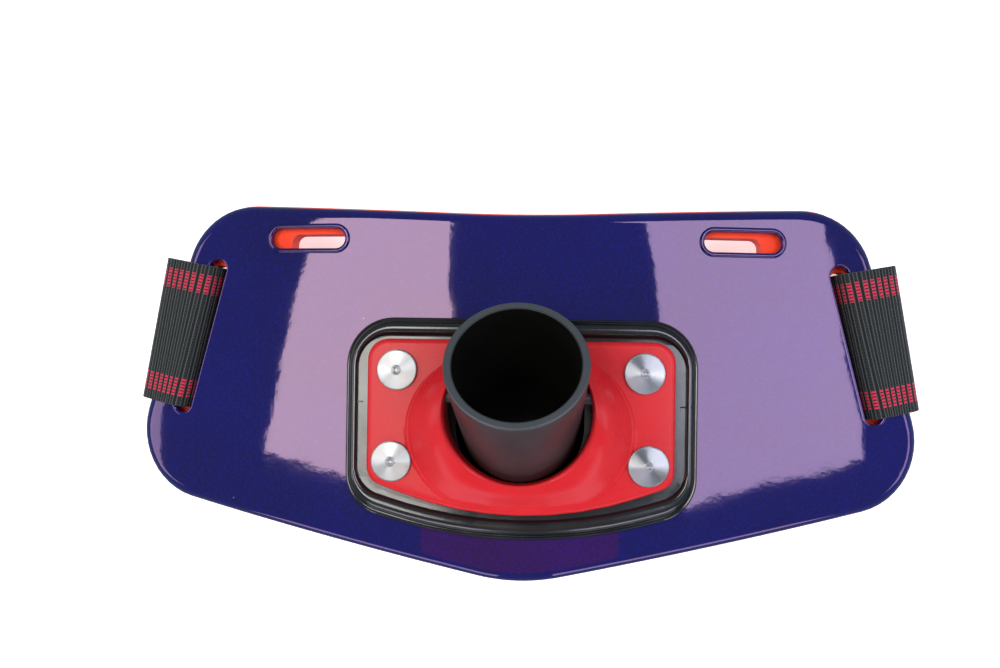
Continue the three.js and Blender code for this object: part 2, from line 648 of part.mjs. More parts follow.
// The right strap for side 1, and its mirror image for side -1, whose sections go round the other way.
// Between the ends the sections lie a little askew, so that flat stretches have no right-angled faces.
function makeStrap(side) {
  const shares = Array.from({ length: STRAP_COLUMNS + 1 }, (_, j) => j / STRAP_COLUMNS - 0.5);
  const curves = shares.map((share) => strapLine(STRAP_WIDTH * share));
  const place = (t, j, face) => {
    const askew = STRAP_SKEW * (shares[j] + face / 5);
    const at = t + askew * t * (1 - t);
    const width = curves.at(-1).getPoint(at).sub(curves[0].getPoint(at));
    const normal = curves[j].getTangent(at).cross(width).normalize();
    const point = curves[j].getPoint(at).addScaledVector(normal, (face * STRAP_THICKNESS) / 2);
    return point.setX(side * point.x);
  };
  const sections = [];
  for (let i = 0; i <= STRAP_ROWS; i++) {
    const t = i / STRAP_ROWS;
    const columns = [...shares.keys()];
    sections.push([...columns.map((j) => place(t, j, 1)), ...columns.reverse().map((j) => place(t, j, -1))]);
  }
  return ribbon(side < 0 ? sections.map((section) => section.reverse()) : sections);
}

function makeBuckle() {
  const width = STRAP_WIDTH + 2 * BUCKLE_RAIL + 3;
  const frame = prism(outline(slotCorners(0, buckleY, BUCKLE_LENGTH, width, BUCKLE_CORNER)));
  const slab = new THREE.BoxGeometry(BUCKLE_LENGTH + 2, width + 2, BUCKLE_THICKNESS);
  slab.translate(0, buckleY, buckleZ + BUCKLE_THICKNESS / 2);
  const windowX = BUCKLE_LENGTH / 2 - BUCKLE_BAR - BUCKLE_WINDOW / 2;
  const windows = [-1, 1].map((side) =>
    prism(outline(slotCorners(side * windowX, buckleY, BUCKLE_WINDOW, STRAP_WIDTH + 3, 1.5))),
  );
  return frame.intersect(solidOf(slab)).subtract(windows[0]).subtract(windows[1]);
}

// Finishes
const navyGloss = { color: 0x171e6e, roughness: 0.16, metalness: 0 };
const redFoam = { color: 0xd8301a, roughness: 0.85, metalness: 0 };
const blackGloss = { color: 0x121315, roughness: 0.28, metalness: 0 };
const redGloss = { color: 0xd22a2e, roughness: 0.3, metalness: 0 };
const blackSatin = { color: 0x1b1c1e, roughness: 0.4, metalness: 0 };
const turnedAluminium = { color: 0xc9cbcc, roughness: 0.3, metalness: 1 };
const blackWebbing = { color: 0x232627, roughness: 0.9, metalness: 0 };

const belt = new THREE.Group();
belt.add(piece("plate", geometryOf(makePlate()), navyGloss));
belt.add(piece("back_pad", geometryOf(makePad()), redFoam));
belt.add(piece("cup_housing", geometryOf(makeHousing()), blackGloss));
belt.add(piece("bezel", geometryOf(makeBezel()), redGloss));

const rodCup = piece("rod_cup", geometryOf(makeRodCup()), blackSatin);
rodCup.position.set(0, PIVOT_Y, PIVOT_Z);
rodCup.rotation.x = -CUP_TILT;
belt.add(rodCup);

for (const { name, x, y } of rivetSeats) {
  const rivet = piece(name, rivetGeometry(), turnedAluminium);
  rivet.applyMatrix4(seatOnPlate(x, y, bezelFront));
  belt.add(rivet);
}

belt.add(piece("strap_right", makeStrap(1), blackWebbing));
belt.add(piece("strap_left", makeStrap(-1), blackWebbing));
belt.add(piece("buckle", geometryOf(makeBuckle()), blackSatin));

const box = new THREE.Box3().setFromObject(belt, true);
belt.position.set(-(box.min.x + box.max.x) / 2, -(box.min.y + box.max.y) / 2, -box.min.z);

export default belt;
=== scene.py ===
import json
from math import asin, atan2, copysign, cos, degrees, floor, pi, radians, sin, sqrt

import bmesh
import bpy
from mathutils import Matrix, Vector


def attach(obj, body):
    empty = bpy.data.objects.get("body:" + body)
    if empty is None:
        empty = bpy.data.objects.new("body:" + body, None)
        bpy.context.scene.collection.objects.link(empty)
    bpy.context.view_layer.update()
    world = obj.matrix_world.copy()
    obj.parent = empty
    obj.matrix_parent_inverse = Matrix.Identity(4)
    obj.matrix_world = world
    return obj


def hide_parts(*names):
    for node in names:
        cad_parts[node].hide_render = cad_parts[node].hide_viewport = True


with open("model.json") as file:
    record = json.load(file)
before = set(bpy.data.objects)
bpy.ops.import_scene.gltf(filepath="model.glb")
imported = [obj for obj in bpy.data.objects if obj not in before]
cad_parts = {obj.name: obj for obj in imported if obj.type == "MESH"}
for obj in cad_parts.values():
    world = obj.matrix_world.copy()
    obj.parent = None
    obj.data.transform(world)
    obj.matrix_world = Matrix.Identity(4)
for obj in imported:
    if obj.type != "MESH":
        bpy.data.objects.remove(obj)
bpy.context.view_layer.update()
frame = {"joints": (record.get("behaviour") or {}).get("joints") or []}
bpy.ops.object.select_all(action="DESELECT")

# The belt's own layout
# Every piece is drawn in millimetres from the middle of the plate's front: x to the right, y to its top
# edge, z out of it. The cup's hinge, which the frame gives, says where that middle is.
MM = 0.001
HINGE = Vector((0, -18.3, 11.5))
BELT = Vector(frame["joints"][0]["pos_m"]) - HINGE * MM

# Camera
# It stands 380 mm over the plate, a little to the left of its middle, and looks almost straight down.
CAMERA_LEAN = radians(-3.5)
CAMERA_ROLL = radians(-0.85)
CAMERA_PLACE = Vector((-6.9, 1.9, 380))
CAMERA_LENS = 41.72
camera_turn = Matrix.Rotation(CAMERA_ROLL, 3, "Z") @ Matrix.Rotation(CAMERA_LEAN, 3, "Y")
camera_back = camera_turn.transposed()
bpy.ops.object.camera_add(location=BELT + camera_back @ CAMERA_PLACE * MM, rotation=camera_back.to_euler())
camera = bpy.context.object
camera.name = "photo_camera"
camera.data.lens = CAMERA_LENS
camera.data.sensor_width = 36
bpy.context.scene.camera = camera


# Floor and studio light
# A backlit white sheet under the belt, two large soft panels over its left and right side with a brown
# card between them, upright strips at the front and at the sides, and a dim room.
def paint(code):
    """An sRGB hex colour as linear red, green, blue and alpha."""
    shares = [int(code[i : i + 2], 16) / 255 for i in (1, 3, 5)]
    return (*[s / 12.92 if s <= 0.04045 else ((s + 0.055) / 1.055) ** 2.4 for s in shares], 1)


def add(material, kind, values=None, **settings):
    """Adds a shader node with its settings, and its inputs' values or the sockets that feed them."""
    made = material.node_tree.nodes.new("ShaderNode" + kind)
    for name, value in settings.items():
        setattr(made, name, value)
    for name, value in (values or {}).items():
        if isinstance(value, bpy.types.NodeSocket):
            material.node_tree.links.new(value, made.inputs[name])
        else:
            made.inputs[name].default_value = value
    return made


def finish(name, values):
    """A new material whose surface shader has these values. Returns both."""
    material = bpy.data.materials.new(name)
    material.use_nodes = True
    shader = material.node_tree.nodes["Principled BSDF"]
    for socket, value in values.items():
        shader.inputs[socket].default_value = value
    return material, shader


def feed(material, source, target):
    material.node_tree.links.new(source, target)


bpy.ops.mesh.primitive_plane_add(size=6)
floor_sheet = bpy.context.object
floor_sheet.name = "white_floor"
# Matt white paper lit from behind: an even white ground with soft shadows, which the gloss doesn't mirror
paper = finish(
    "backlit_white_paper",
    {"Base Color": paint("#f7f7f7"), "Roughness": 0.9, "Emission Color": paint("#ffffff"),
     "Emission Strength": 0.5},
)[0]
floor_sheet.data.materials.append(paper)
floor_sheet.visible_glossy = False


def glowing(name, colour, glow):
    """A black material that only gives light."""
    lit = {"Base Color": paint("#000000"), "Emission Color": paint(colour), "Emission Strength": glow}
    return finish(name, lit)[0]


def light_sheet(name, corners, light):
    """A flat light with four corners in metres: low left, low right, high left, high right."""
    bpy.ops.mesh.primitive_plane_add(size=1)
    sheet = bpy.context.object
    sheet.name = name
    for vertex, corner in zip(sheet.data.vertices, corners):
        vertex.co = corner
    sheet.data.materials.append(light)


PANEL_HEIGHT = 1.04
PANELS = {
    "panel_left": {
        "corners": [(-0.94, -0.185), (-0.25, -0.2), (-0.54, 0.5), (-0.255, 0.5)],
        "glow": 9.2,
        "colour": "#fffbf4",
    },
    "panel_right": {
        "corners": [(0.44, -0.21), (1.2, -0.18), (0.2, 0.5), (0.815, 0.5)],
        "glow": 7.6,
        "colour": "#eceeff",
    },
    "brown_card": {
        "corners": [(-0.33, -0.5), (0.25, -0.5), (-0.33, -0.225), (0.25, -0.215)],
        "glow": 1.0,
        "colour": "#e08a3c",
    },
}
for name, panel in PANELS.items():
    corners = [(x, y + BELT.y, PANEL_HEIGHT) for x, y in panel["corners"]]
    light_sheet(name, corners, glowing(f"{name}_light", panel["colour"], panel["glow"]))

# The front strips draw the light line along the plate's lower edge, and the side ones light the collar
STRIPS = {
    "front_strip": [(0.16, -1.0, 0.12), (0.9, -1.0, 0.12), (0.16, -1.0, 0.5), (0.9, -1.0, 0.5)],
    "side_strip": [(1.55, -0.5, 0.35), (1.55, 0.4, 0.35), (1.55, -0.5, 0.95), (1.55, 0.4, 0.95)],
}
strip_light = glowing("front_strip_light", "#f4eeff", 4.2)
for side, hand in ((-1, "left"), (1, "right")):
    for name, corners in STRIPS.items():
        light_sheet(f"{name}_{hand}", [(side * x, y, z) for x, y, z in corners], strip_light)

room = bpy.data.worlds.new("room")
room.use_nodes = True
room_light = room.node_tree.nodes["Background"]
room_light.inputs["Color"].default_value = paint("#aebfc9")
room_light.inputs["Strength"].default_value = 0.6
bpy.context.scene.world = room
bpy.context.scene.view_settings.view_transform = "Standard"

# Hip plate
# One injection moulding in navy plastic with a clear gloss coat, rolled over at its rim and bent to the
# waist. The slots for harness and strap have raised lips.
BEND_RADIUS = 400
PLATE_WALL = 2.5
PLATE_SKIRT = 5
PLATE_ROLL = 3.5
SEAT_GAP = 0.3
HARNESS_SLOT = {"x": 72.6, "y": 33.1, "length": 26, "width": 6.7}
SLOT_LEAN = radians(15.5)
STRAP_SLOT = {"x": 112.3, "y": -0.5, "length": 55, "width": 6.6, "tilt": radians(90) + SLOT_LEAN}
# How far a cutting solid reaches above and below the plate's front
CUT_REACH = 20


def both_halves(side, top=None, bottom=None):
    """Corners (x, y, radius) of a symmetric outline from its right side's, going round anticlockwise."""
    left = [(-x, y, r) for x, y, r in reversed(side)]
    return [*side, *([top] if top else []), *left, *([bottom] if bottom else [])]


def rounded(corners, grow=0.0, steps=12, extra=0):
    """Points round an outline with rounded corners, moved outwards by grow.

    Extra points go on each straight stretch, where a wide piece has to follow the plate's bend.
    """
    points = []
    for i, (x, y, radius) in enumerate(corners):
        here = Vector((x, y))
        before = (here - Vector(corners[i - 1][:2])).normalized()
        after = (Vector(corners[(i + 1) % len(corners)][:2]) - here).normalized()
        turn = atan2(before.x * after.y - before.y * after.x, before.dot(after))
        side = copysign(1, turn)
        outward = Vector((before.y + after.y, -before.x - after.x)).normalized() / cos(turn / 2)
        centre = here + outward * (grow - side * (radius + side * grow))
        start = atan2(-before.x, before.y) + (pi if turn < 0 else 0)
        reach = radius + side * grow
        for k in range(steps + 1):
            angle = start + turn * k / steps
            points.append(Vector((centre.x + reach * cos(angle), centre.y + reach * sin(angle))))
    filled = []
    for i, point in enumerate(points):
        filled.append(point)
        if i % (steps + 1) == steps:
            following = points[(i + 1) % len(points)]
            filled += [point.lerp(following, k / (extra + 1)) for k in range(1, extra + 1)]
    return filled


def slot_corners(x, y, length, width, tilt=0.0, radius=None):
    """Corners of a slot, or of a rounded rectangle, turned about its own middle."""
    turn = Matrix.Rotation(tilt, 2)
    signs = [(1, -1), (1, 1), (-1, 1), (-1, -1)]
    ends = [Vector((x, y)) + turn @ Vector((a * length / 2, b * width / 2)) for a, b in signs]
    return [(end.x, end.y, radius or width / 2 * 0.999) for end in ends]


def edit(piece):
    """Opens one piece in edit mode with all of it selected."""
    bpy.ops.object.select_all(action="DESELECT")
    piece.select_set(True)
    bpy.context.view_layer.objects.active = piece
    bpy.ops.object.mode_set(mode="EDIT")
    bpy.ops.mesh.select_all(action="SELECT")


def leave():
    """Goes back to object mode."""
    bpy.ops.object.mode_set(mode="OBJECT")


def pick(piece, kind, test):
    """In edit mode, selects only the faces or edges that pass a test."""
    bpy.ops.mesh.select_mode(type=kind)
    bpy.ops.mesh.select_all(action="DESELECT")
    shape = bmesh.from_edit_mesh(piece.data)
    for part in shape.faces if kind == "FACE" else shape.edges:
        part.select_set(test(part))
    bmesh.update_edit_mesh(piece.data)


def slab(name, points, low, high):
    """A flat solid of an outline between two heights, from a filled circle."""
    bpy.ops.mesh.primitive_circle_add(vertices=len(points), fill_type="NGON")
    piece = bpy.context.object
    piece.name = name
    for vertex, point in zip(piece.data.vertices, points):
        vertex.co = (point.x, point.y, low)
    edit(piece)
    bpy.ops.mesh.extrude_region_move(TRANSFORM_OT_translate={"value": (0, 0, high - low)})
    bpy.ops.mesh.select_all(action="SELECT")
    bpy.ops.mesh.normals_make_consistent(inside=False)
    leave()
    return piece


def skin(name, rows, endless=False):
    """A closed skin over rings of points, from a grid that is wrapped round. Endless joins its ends too."""
    rings = [*rows, rows[0]] if endless else rows
    bpy.ops.mesh.primitive_grid_add(x_subdivisions=len(rings[0]), y_subdivisions=len(rings) - 1)
    piece = bpy.context.object
    piece.name = name
    places = [place for ring in rings for place in [*ring, ring[0]]]
    for vertex, place in zip(piece.data.vertices, places):
        vertex.co = place
    edit(piece)
    bpy.ops.mesh.remove_doubles(threshold=0.0005)
    if not endless:
        bpy.ops.mesh.fill_holes(sides=0)
    bpy.ops.mesh.select_all(action="SELECT")
    bpy.ops.mesh.normals_make_consistent(inside=False)
    leave()
    return piece


def combine(piece, other, operation="DIFFERENCE"):
    """Cuts one solid by another, or joins them, and removes the other."""
    edit(piece)
    leave()
    modifier = piece.modifiers.new("combine", "BOOLEAN")
    modifier.object = other
    modifier.operation = operation
    modifier.solver = "EXACT"
    bpy.ops.object.modifier_apply(modifier=modifier.name)
    bpy.data.objects.remove(other)


def bent(x, height=0.0):
    """z of a point at that height over the front of the bent plate."""
    return sqrt((BEND_RADIUS + height) ** 2 - x * x) - BEND_RADIUS


def bend(piece, step=4):
    """Slices a flat piece every few millimetres across its length and bends it round the waist."""
    reach = max(abs(vertex.co.x) for vertex in piece.data.vertices)
    edit(piece)
    for k in range(-int(reach / step), int(reach / step) + 1):
        bpy.ops.mesh.select_all(action="SELECT")
        bpy.ops.mesh.bisect(plane_co=(k * step, 0, 0), plane_no=(1, 0, 0))
    leave()
    for vertex in piece.data.vertices:
        vertex.co.z = bent(vertex.co.x, vertex.co.z)


def settle(piece, material, *nodes, body="root", slot, smooth=35):
    """Puts a finished piece at its place in metres, gives it its finish and body, and hides the CAD nodes
    that it replaces.
    """
    piece.data.transform(Matrix.Translation(BELT) @ Matrix.Scale(MM, 4))
    edit(piece)
    leave()
    bpy.ops.object.shade_smooth_by_angle(angle=radians(smooth))
    modifier = piece.modifiers.new("even_shading", "WEIGHTED_NORMAL")
    modifier.keep_sharp = True
    bpy.ops.object.modifier_apply(modifier=modifier.name)
    piece.data.materials.clear()
    piece.data.materials.append(material)
    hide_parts(*nodes)
    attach(piece, body)


PLATE = both_halves([(141.3, -51.3, 24), (111.8, 45.2, 25)], top=(0, 40.7, 600), bottom=(0, -81.2, 66))
plate = slab("hip_plate", rounded(PLATE), -PLATE_SKIRT, 0)
edit(plate)
pick(plate, "EDGE", lambda edge: all(vertex.co.z > -0.01 for vertex in edge.verts))
bpy.ops.mesh.bevel(offset=PLATE_ROLL, segments=8, profile=0.5, affect="EDGES")
pick(plate, "FACE", lambda face: face.normal.z < -0.9)
bpy.ops.mesh.inset(thickness=PLATE_WALL)
bpy.ops.mesh.extrude_region_move(TRANSFORM_OT_translate={"value": (0, 0, PLATE_SKIRT - PLATE_WALL)})
leave()

CUP_WELL_RADIUS = 21.1
WELL_TOP_Y = -18.3
WELL_LOW_Y = -27.92
BOWL_WALL = 1.8


def well(radius):
    """Round-ended outline of the well that the cup swings in."""
    length = WELL_TOP_Y - WELL_LOW_Y + 2 * radius
    return slot_corners(0, (WELL_TOP_Y + WELL_LOW_Y) / 2, length, 2 * radius, radians(90))


plate_well = well(CUP_WELL_RADIUS + BOWL_WALL + SEAT_GAP)
combine(plate, slab("cut", rounded(plate_well), -CUT_REACH, CUT_REACH))

# Section of a lip across the slot's edge: how far out of the slot, and how high over the plate
HARNESS_LIP = [(0, -2.4), (0, 0.25), (0.15, 0.55), (0.45, 0.8), (0.8, 0.88), (1.15, 0.8), (1.45, 0.5),
               (1.62, 0.1), (1.66, -0.4), (1.66, -2.4)]
STRAP_LIP = [(0, -4.9), (0, -0.35), (0.06, -0.12), (0.25, 0.02), (0.6, 0.06), (1.0, 0.02), (1.15, -0.3),
             (1.15, -1.3), (2.4, -1.3), (2.4, -4.9)]
# The cut in the plate ends inside the lip, so that the lip joins it all round
LIP_BITE = 0.6
for side in (-1, 1):
    for place, lip in ((HARNESS_SLOT, HARNESS_LIP), (STRAP_SLOT, STRAP_LIP)):
        tilt = side * place.get("tilt", 0)
        corners = slot_corners(side * place["x"], place["y"], place["length"], place["width"], tilt)
        combine(plate, slab("cut", rounded(corners, LIP_BITE), -CUT_REACH, CUT_REACH))
        rings = [[(p.x, p.y, z) for p in rounded(corners, out)] for out, z in lip]
        combine(plate, skin("lip", rings, endless=True), "UNION")
bend(plate)

# Navy plastic moulding under a clear gloss coat, which mirrors the panels sharply on a near-black blue
lacquer, lacquer_shader = finish(
    "gloss_coated_navy_plastic",
    {"Roughness": 0.04, "IOR": 1.5, "Specular IOR Level": 0.6, "Specular Tint": paint("#ffd6f4")},
)
lacquer_place = add(lacquer, "TexCoord").outputs["Object"]
# Pearl flakes of 0.25 mm in the coat, which glint a lighter blue
flakes = add(lacquer, "TexVoronoi", {"Vector": lacquer_place, "Scale": 4000.0})
flake_share = add(lacquer, "MapRange", {"Value": flakes.outputs["Color"], "From Min": 0.6, "From Max": 1.6})
cloud = add(lacquer, "TexNoise", {"Vector": lacquer_place, "Scale": 25.0, "Detail": 3.0})
navy = add(lacquer, "Mix", {"Factor": cloud.outputs["Fac"], "A": paint("#060c2e"), "B": paint("#080d54")},
           data_type="RGBA")
# Dust specks of about 0.3 mm, some 15 mm apart
specks = add(lacquer, "TexVoronoi", {"Vector": lacquer_place, "Scale": 70.0})
speck_share = add(lacquer, "MapRange",
                  {"Value": specks.outputs["Distance"], "From Min": 0.014, "From Max": 0.008})
pearl = add(lacquer, "Mix", {"Factor": flake_share.outputs["Result"], "B": paint("#1a20a0")},
            data_type="RGBA")
feed(lacquer, navy.outputs[2], pearl.inputs[6])
dusty = add(lacquer, "Mix",
            {"Factor": speck_share.outputs["Result"], "A": pearl.outputs[2], "B": paint("#9a97b4")},
            data_type="RGBA")
feed(lacquer, dusty.outputs[2], lacquer_shader.inputs["Base Color"])
# Moulding waves of about 40 mm, and an orange peel of 1.5 mm
waves = add(lacquer, "TexNoise", {"Vector": lacquer_place, "Scale": 25.0, "Detail": 3.5, "Roughness": 0.35})
peel = add(lacquer, "TexNoise", {"Vector": lacquer_place, "Scale": 650.0, "Detail": 2.0})
wave_bump = add(lacquer, "Bump", {"Height": waves.outputs["Fac"], "Distance": 0.0003, "Strength": 1.0})
peel_bump = add(lacquer, "Bump", {"Height": peel.outputs["Fac"], "Distance": 0.000004, "Strength": 1.0,
                                  "Normal": wave_bump.outputs["Normal"]})
feed(lacquer, peel_bump.outputs["Normal"], lacquer_shader.inputs["Normal"])
settle(plate, lacquer, "plate", slot="plate_gloss")

# Back pad
# A die-cut sheet of closed-cell foam in bright orange red behind the plate. It fills the plate's hollow,
# and its own slots are smaller and lie further in, so that the foam shows inside the plate's slots.
PAD_THICKNESS = 7
PAD_OVERHANG = 0.6
PAD_EDGE = 1.1
PAD_HARNESS_SLOT = {"inwards": 3.9, "down": 2.4, "length": 20.5, "width": 8, "corner": 3}
# The pad's strap slot is shorter than the plate's and a little wider, and wider still round the lip
PAD_STRAP_SLOT = {"shorter": 4.6, "grow": 0.4, "grow_at_lip": 2.8}
pad_front = -(PLATE_SKIRT + SEAT_GAP)
pad = slab("foam_pad", rounded(PLATE, PAD_OVERHANG), pad_front - PAD_THICKNESS, pad_front)
edit(pad)
pick(pad, "EDGE", lambda edge: abs(edge.verts[0].co.z - edge.verts[1].co.z) < 0.01)
bpy.ops.mesh.bevel(offset=PAD_EDGE, segments=4, profile=0.5, affect="EDGES")
pick(pad, "FACE", lambda face: face.normal.z > 0.9)
bpy.ops.mesh.inset(thickness=PLATE_WALL + SEAT_GAP + PAD_OVERHANG - PAD_EDGE)
bpy.ops.mesh.extrude_region_move(TRANSFORM_OT_translate={"value": (0, 0, PLATE_SKIRT - PLATE_WALL)})
leave()
pad_well = well(CUP_WELL_RADIUS + BOWL_WALL + 2 * SEAT_GAP)
combine(pad, slab("cut", rounded(pad_well), -CUT_REACH, CUT_REACH))
for side in (-1, 1):
    harness = slot_corners(
        side * (HARNESS_SLOT["x"] - PAD_HARNESS_SLOT["inwards"]),
        HARNESS_SLOT["y"] - PAD_HARNESS_SLOT["down"],
        PAD_HARNESS_SLOT["length"],
        PAD_HARNESS_SLOT["width"],
        radius=PAD_HARNESS_SLOT["corner"],
    )
    strap_slot = slot_corners(
        side * STRAP_SLOT["x"],
        STRAP_SLOT["y"],
        STRAP_SLOT["length"] - PAD_STRAP_SLOT["shorter"],
        STRAP_SLOT["width"],
        side * STRAP_SLOT["tilt"],
    )
    combine(pad, slab("cut", rounded(harness), -CUT_REACH, CUT_REACH))
    combine(pad, slab("cut", rounded(strap_slot, PAD_STRAP_SLOT["grow"]), -CUT_REACH, CUT_REACH))
    combine(pad, slab("cut", rounded(strap_slot, PAD_STRAP_SLOT["grow_at_lip"]), pad_front, CUT_REACH))
bend(pad)

# Closed-cell foam with a die-cut edge: a matt, faintly glowing orange red with a fine cell grain
foam, foam_shader = finish(
    "die_cut_foam",
    {"Roughness": 0.8, "Sheen Weight": 0.15, "Sheen Roughness": 0.5, "Subsurface Weight": 0.1,
     "Subsurface Scale": 0.001},
)
foam_place = add(foam, "TexCoord").outputs["Object"]
# Cut cells of 0.6 mm, and a patchy skin
cells = add(foam, "TexVoronoi", {"Vector": foam_place, "Scale": 1600.0})
patches = add(foam, "TexNoise", {"Vector": foam_place, "Scale": 60.0, "Detail": 4.0})
foam_colour = add(foam, "Mix",
                  {"Factor": patches.outputs["Fac"], "A": paint("#e02a08"), "B": paint("#f24413")},
                  data_type="RGBA")
feed(foam, foam_colour.outputs[2], foam_shader.inputs["Base Color"])
cell_bump = add(foam, "Bump", {"Height": cells.outputs["Distance"], "Distance": 0.0002, "Strength": 0.6})
feed(foam, cell_bump.outputs["Normal"], foam_shader.inputs["Normal"])
settle(pad, foam, "back_pad", slot="foam")

# Cup housing
# The black gloss moulding on the plate: a thin bead, a groove and a broad ridge round a flat ledge, and
# the round-bottomed bowl that the cup swings in. A seam crosses each side ledge at half height.
BEZEL_SIDE_X = 50.6
BEZEL_TOP_Y = -0.2
BEZEL_CORNER_Y = -47
BEZEL_BOW_Y = -64.4
BEZEL = both_halves(
    [(BEZEL_SIDE_X, BEZEL_CORNER_Y, 6), (BEZEL_SIDE_X, BEZEL_TOP_Y, 7)], bottom=(0, BEZEL_BOW_Y, 122)
)
FLANGE = 1.2


def margin(side, top, corner, bow, radii):
    """Outline round the bezel with its own margin at the sides, the top, the lower corners and the bow."""
    low_corner = (BEZEL_SIDE_X + side, BEZEL_CORNER_Y - corner, radii[0])
    top_corner = (BEZEL_SIDE_X + side, BEZEL_TOP_Y + top, radii[1])
    return both_halves([low_corner, top_corner], bottom=(0, BEZEL_BOW_Y - bow, radii[2]))


# Outlines from the rim inwards: margins at the sides, top, corner and bow, radii, and height over the seat
HOUSING_RINGS = [
    ((7.50, 7.0, 8.7, 7.0), (14, 16, 165), 0.0),
    ((7.50, 7.0, 8.7, 7.0), (14, 16, 165), 0.7),
    ((7.35, 6.85, 8.55, 6.85), (13.9, 15.9, 165), 1.0),
    ((7.05, 6.55, 8.25, 6.55), (13.6, 15.6, 165), 1.15),
    ((6.75, 6.25, 7.95, 6.25), (13.3, 15.3, 164), 1.0),
    ((6.60, 6.1, 7.8, 6.1), (13.1, 15.1, 164), 0.75),
    ((6.40, 5.9, 7.6, 5.9), (12.9, 14.9, 164), 0.7),
    ((6.20, 5.65, 7.3, 5.65), (12.7, 14.7, 163), 1.2),
    ((5.90, 5.25, 6.8, 5.2), (12.4, 14.3, 163), 1.9),
    ((5.45, 4.6, 6.1, 4.6), (12, 13.8, 162), 2.55),
    ((4.90, 3.9, 5.3, 3.9), (11.4, 13.1, 161), 2.9),
    ((4.30, 3.1, 4.4, 3.1), (10.8, 12.3, 160), 2.85),
    ((3.90, 2.3, 3.6, 2.4), (10.4, 11.6, 158), 2.5),
    ((3.70, 1.7, 3.0, 1.8), (10.1, 11.2, 156), 1.9),
    ((3.60, 1.3, 2.6, 1.4), (10, 11, 154), 1.35),
    ((3.45, 1.0, 2.3, 1.1), (9.8, 10.7, 152), FLANGE),
    ((1.0, 0.5, 1.0, 0.6), (8.8, 9.5, 140), FLANGE),
    ((-2.0, -2.0, -2.0, -2.0), (6, 6, 122), FLANGE),
]


def well_points(outline, radius):
    """Points of the well's outline in the directions of another outline's points, seen from its middle."""
    middle = (WELL_TOP_Y + WELL_LOW_Y) / 2
    half = (WELL_TOP_Y - WELL_LOW_Y) / 2
    points = []
    for point in outline:
        way = Vector((point.x, point.y - middle)).normalized()
        reach = radius / max(abs(way.x), 1e-6)
        if abs(way.y) * reach > half:
            reach = half * abs(way.y) + sqrt(radius**2 - (half * way.x) ** 2)
        points.append(Vector((way.x * reach, middle + way.y * reach)))
    return points


CUP_BASE_REACH = 18.3


def bowl_depth(x, y, grow=0.0):
    """z of the bowl's round bottom, which the cup's round end sweeps out about its hinge."""
    reach = CUP_BASE_REACH + sqrt(max((CUP_WELL_RADIUS + grow) ** 2 - x * x, 0))
    return HINGE.z - sqrt(max(reach**2 - (y - HINGE.y) ** 2, 0))


def bowl_rings(outline, grow, rings=14):
    """Rings of the bowl's surface from its edge to its middle."""
    edge = well_points(outline, CUP_WELL_RADIUS + grow)
    middle = Vector((0, (WELL_TOP_Y + WELL_LOW_Y) / 2))
    made = []
    for k in range(rings + 1):
        share = cos(pi / 2 * k / rings)
        spots = [middle + (point - middle) * share for point in edge]
        made.append([(spot.x, spot.y, bowl_depth(spot.x, spot.y, grow)) for spot in spots])
    return made


def clear_of_well(point, distance):
    """The same point, or the nearest one that lies this far outside the well's edge."""
    nearest = Vector((0, min(max(point.y, WELL_LOW_Y), WELL_TOP_Y)))
    gap = point - nearest
    reach = CUP_WELL_RADIUS + distance
    return point if gap.length >= reach else nearest + gap * (reach / gap.length)


front = [rounded(margin(*margins, radii), extra=24) for margins, radii, height in HOUSING_RINGS]
# Behind the cup the well cuts into the ridge, so the rings there keep in order outside its edge
WELL_STEP = 0.08
front = [
    [clear_of_well(point, WELL_STEP * (len(front) - i)) for point in ring] for i, ring in enumerate(front)
]
rows = [
    [(p.x, p.y, bent(p.x, SEAT_GAP + height)) for p in ring]
    for ring, (margins, radii, height) in zip(front, HOUSING_RINGS)
]
inner_edge = well_points(front[0], CUP_WELL_RADIUS)
outer_edge = well_points(front[0], CUP_WELL_RADIUS + BOWL_WALL)
rows += [[(p.x, p.y, bent(p.x, SEAT_GAP + z)) for p in inner_edge] for z in (FLANGE, FLANGE / 2)]
inner_bowl = bowl_rings(front[0], 0)
outer_bowl = bowl_rings(front[0], BOWL_WALL)
under = [[(p.x, p.y, bent(p.x, SEAT_GAP)) for p in outer_edge]]
housing = skin("cup_housing_shell", [*reversed(outer_bowl), *under, *rows, *inner_bowl])
SEAM = {"x": 54.3, "y": -21.3, "length": 4.2, "width": 0.5, "depth": 0.3, "rise": 1.5}
seam_top = bent(SEAM["x"], SEAT_GAP + FLANGE)
for side in (-1, 1):
    seam = slot_corners(side * SEAM["x"], SEAM["y"], SEAM["length"], SEAM["width"])
    combine(housing, slab("cut", rounded(seam), seam_top - SEAM["depth"], seam_top + SEAM["rise"]))

# Polished moulding in black ABS: thin, sharp highlights run along the bead and the ridge
housing_plastic, housing_shader = finish(
    "black_gloss_abs", {"IOR": 1.53, "Specular IOR Level": 0.6}
)
housing_place = add(housing_plastic, "TexCoord").outputs["Object"]
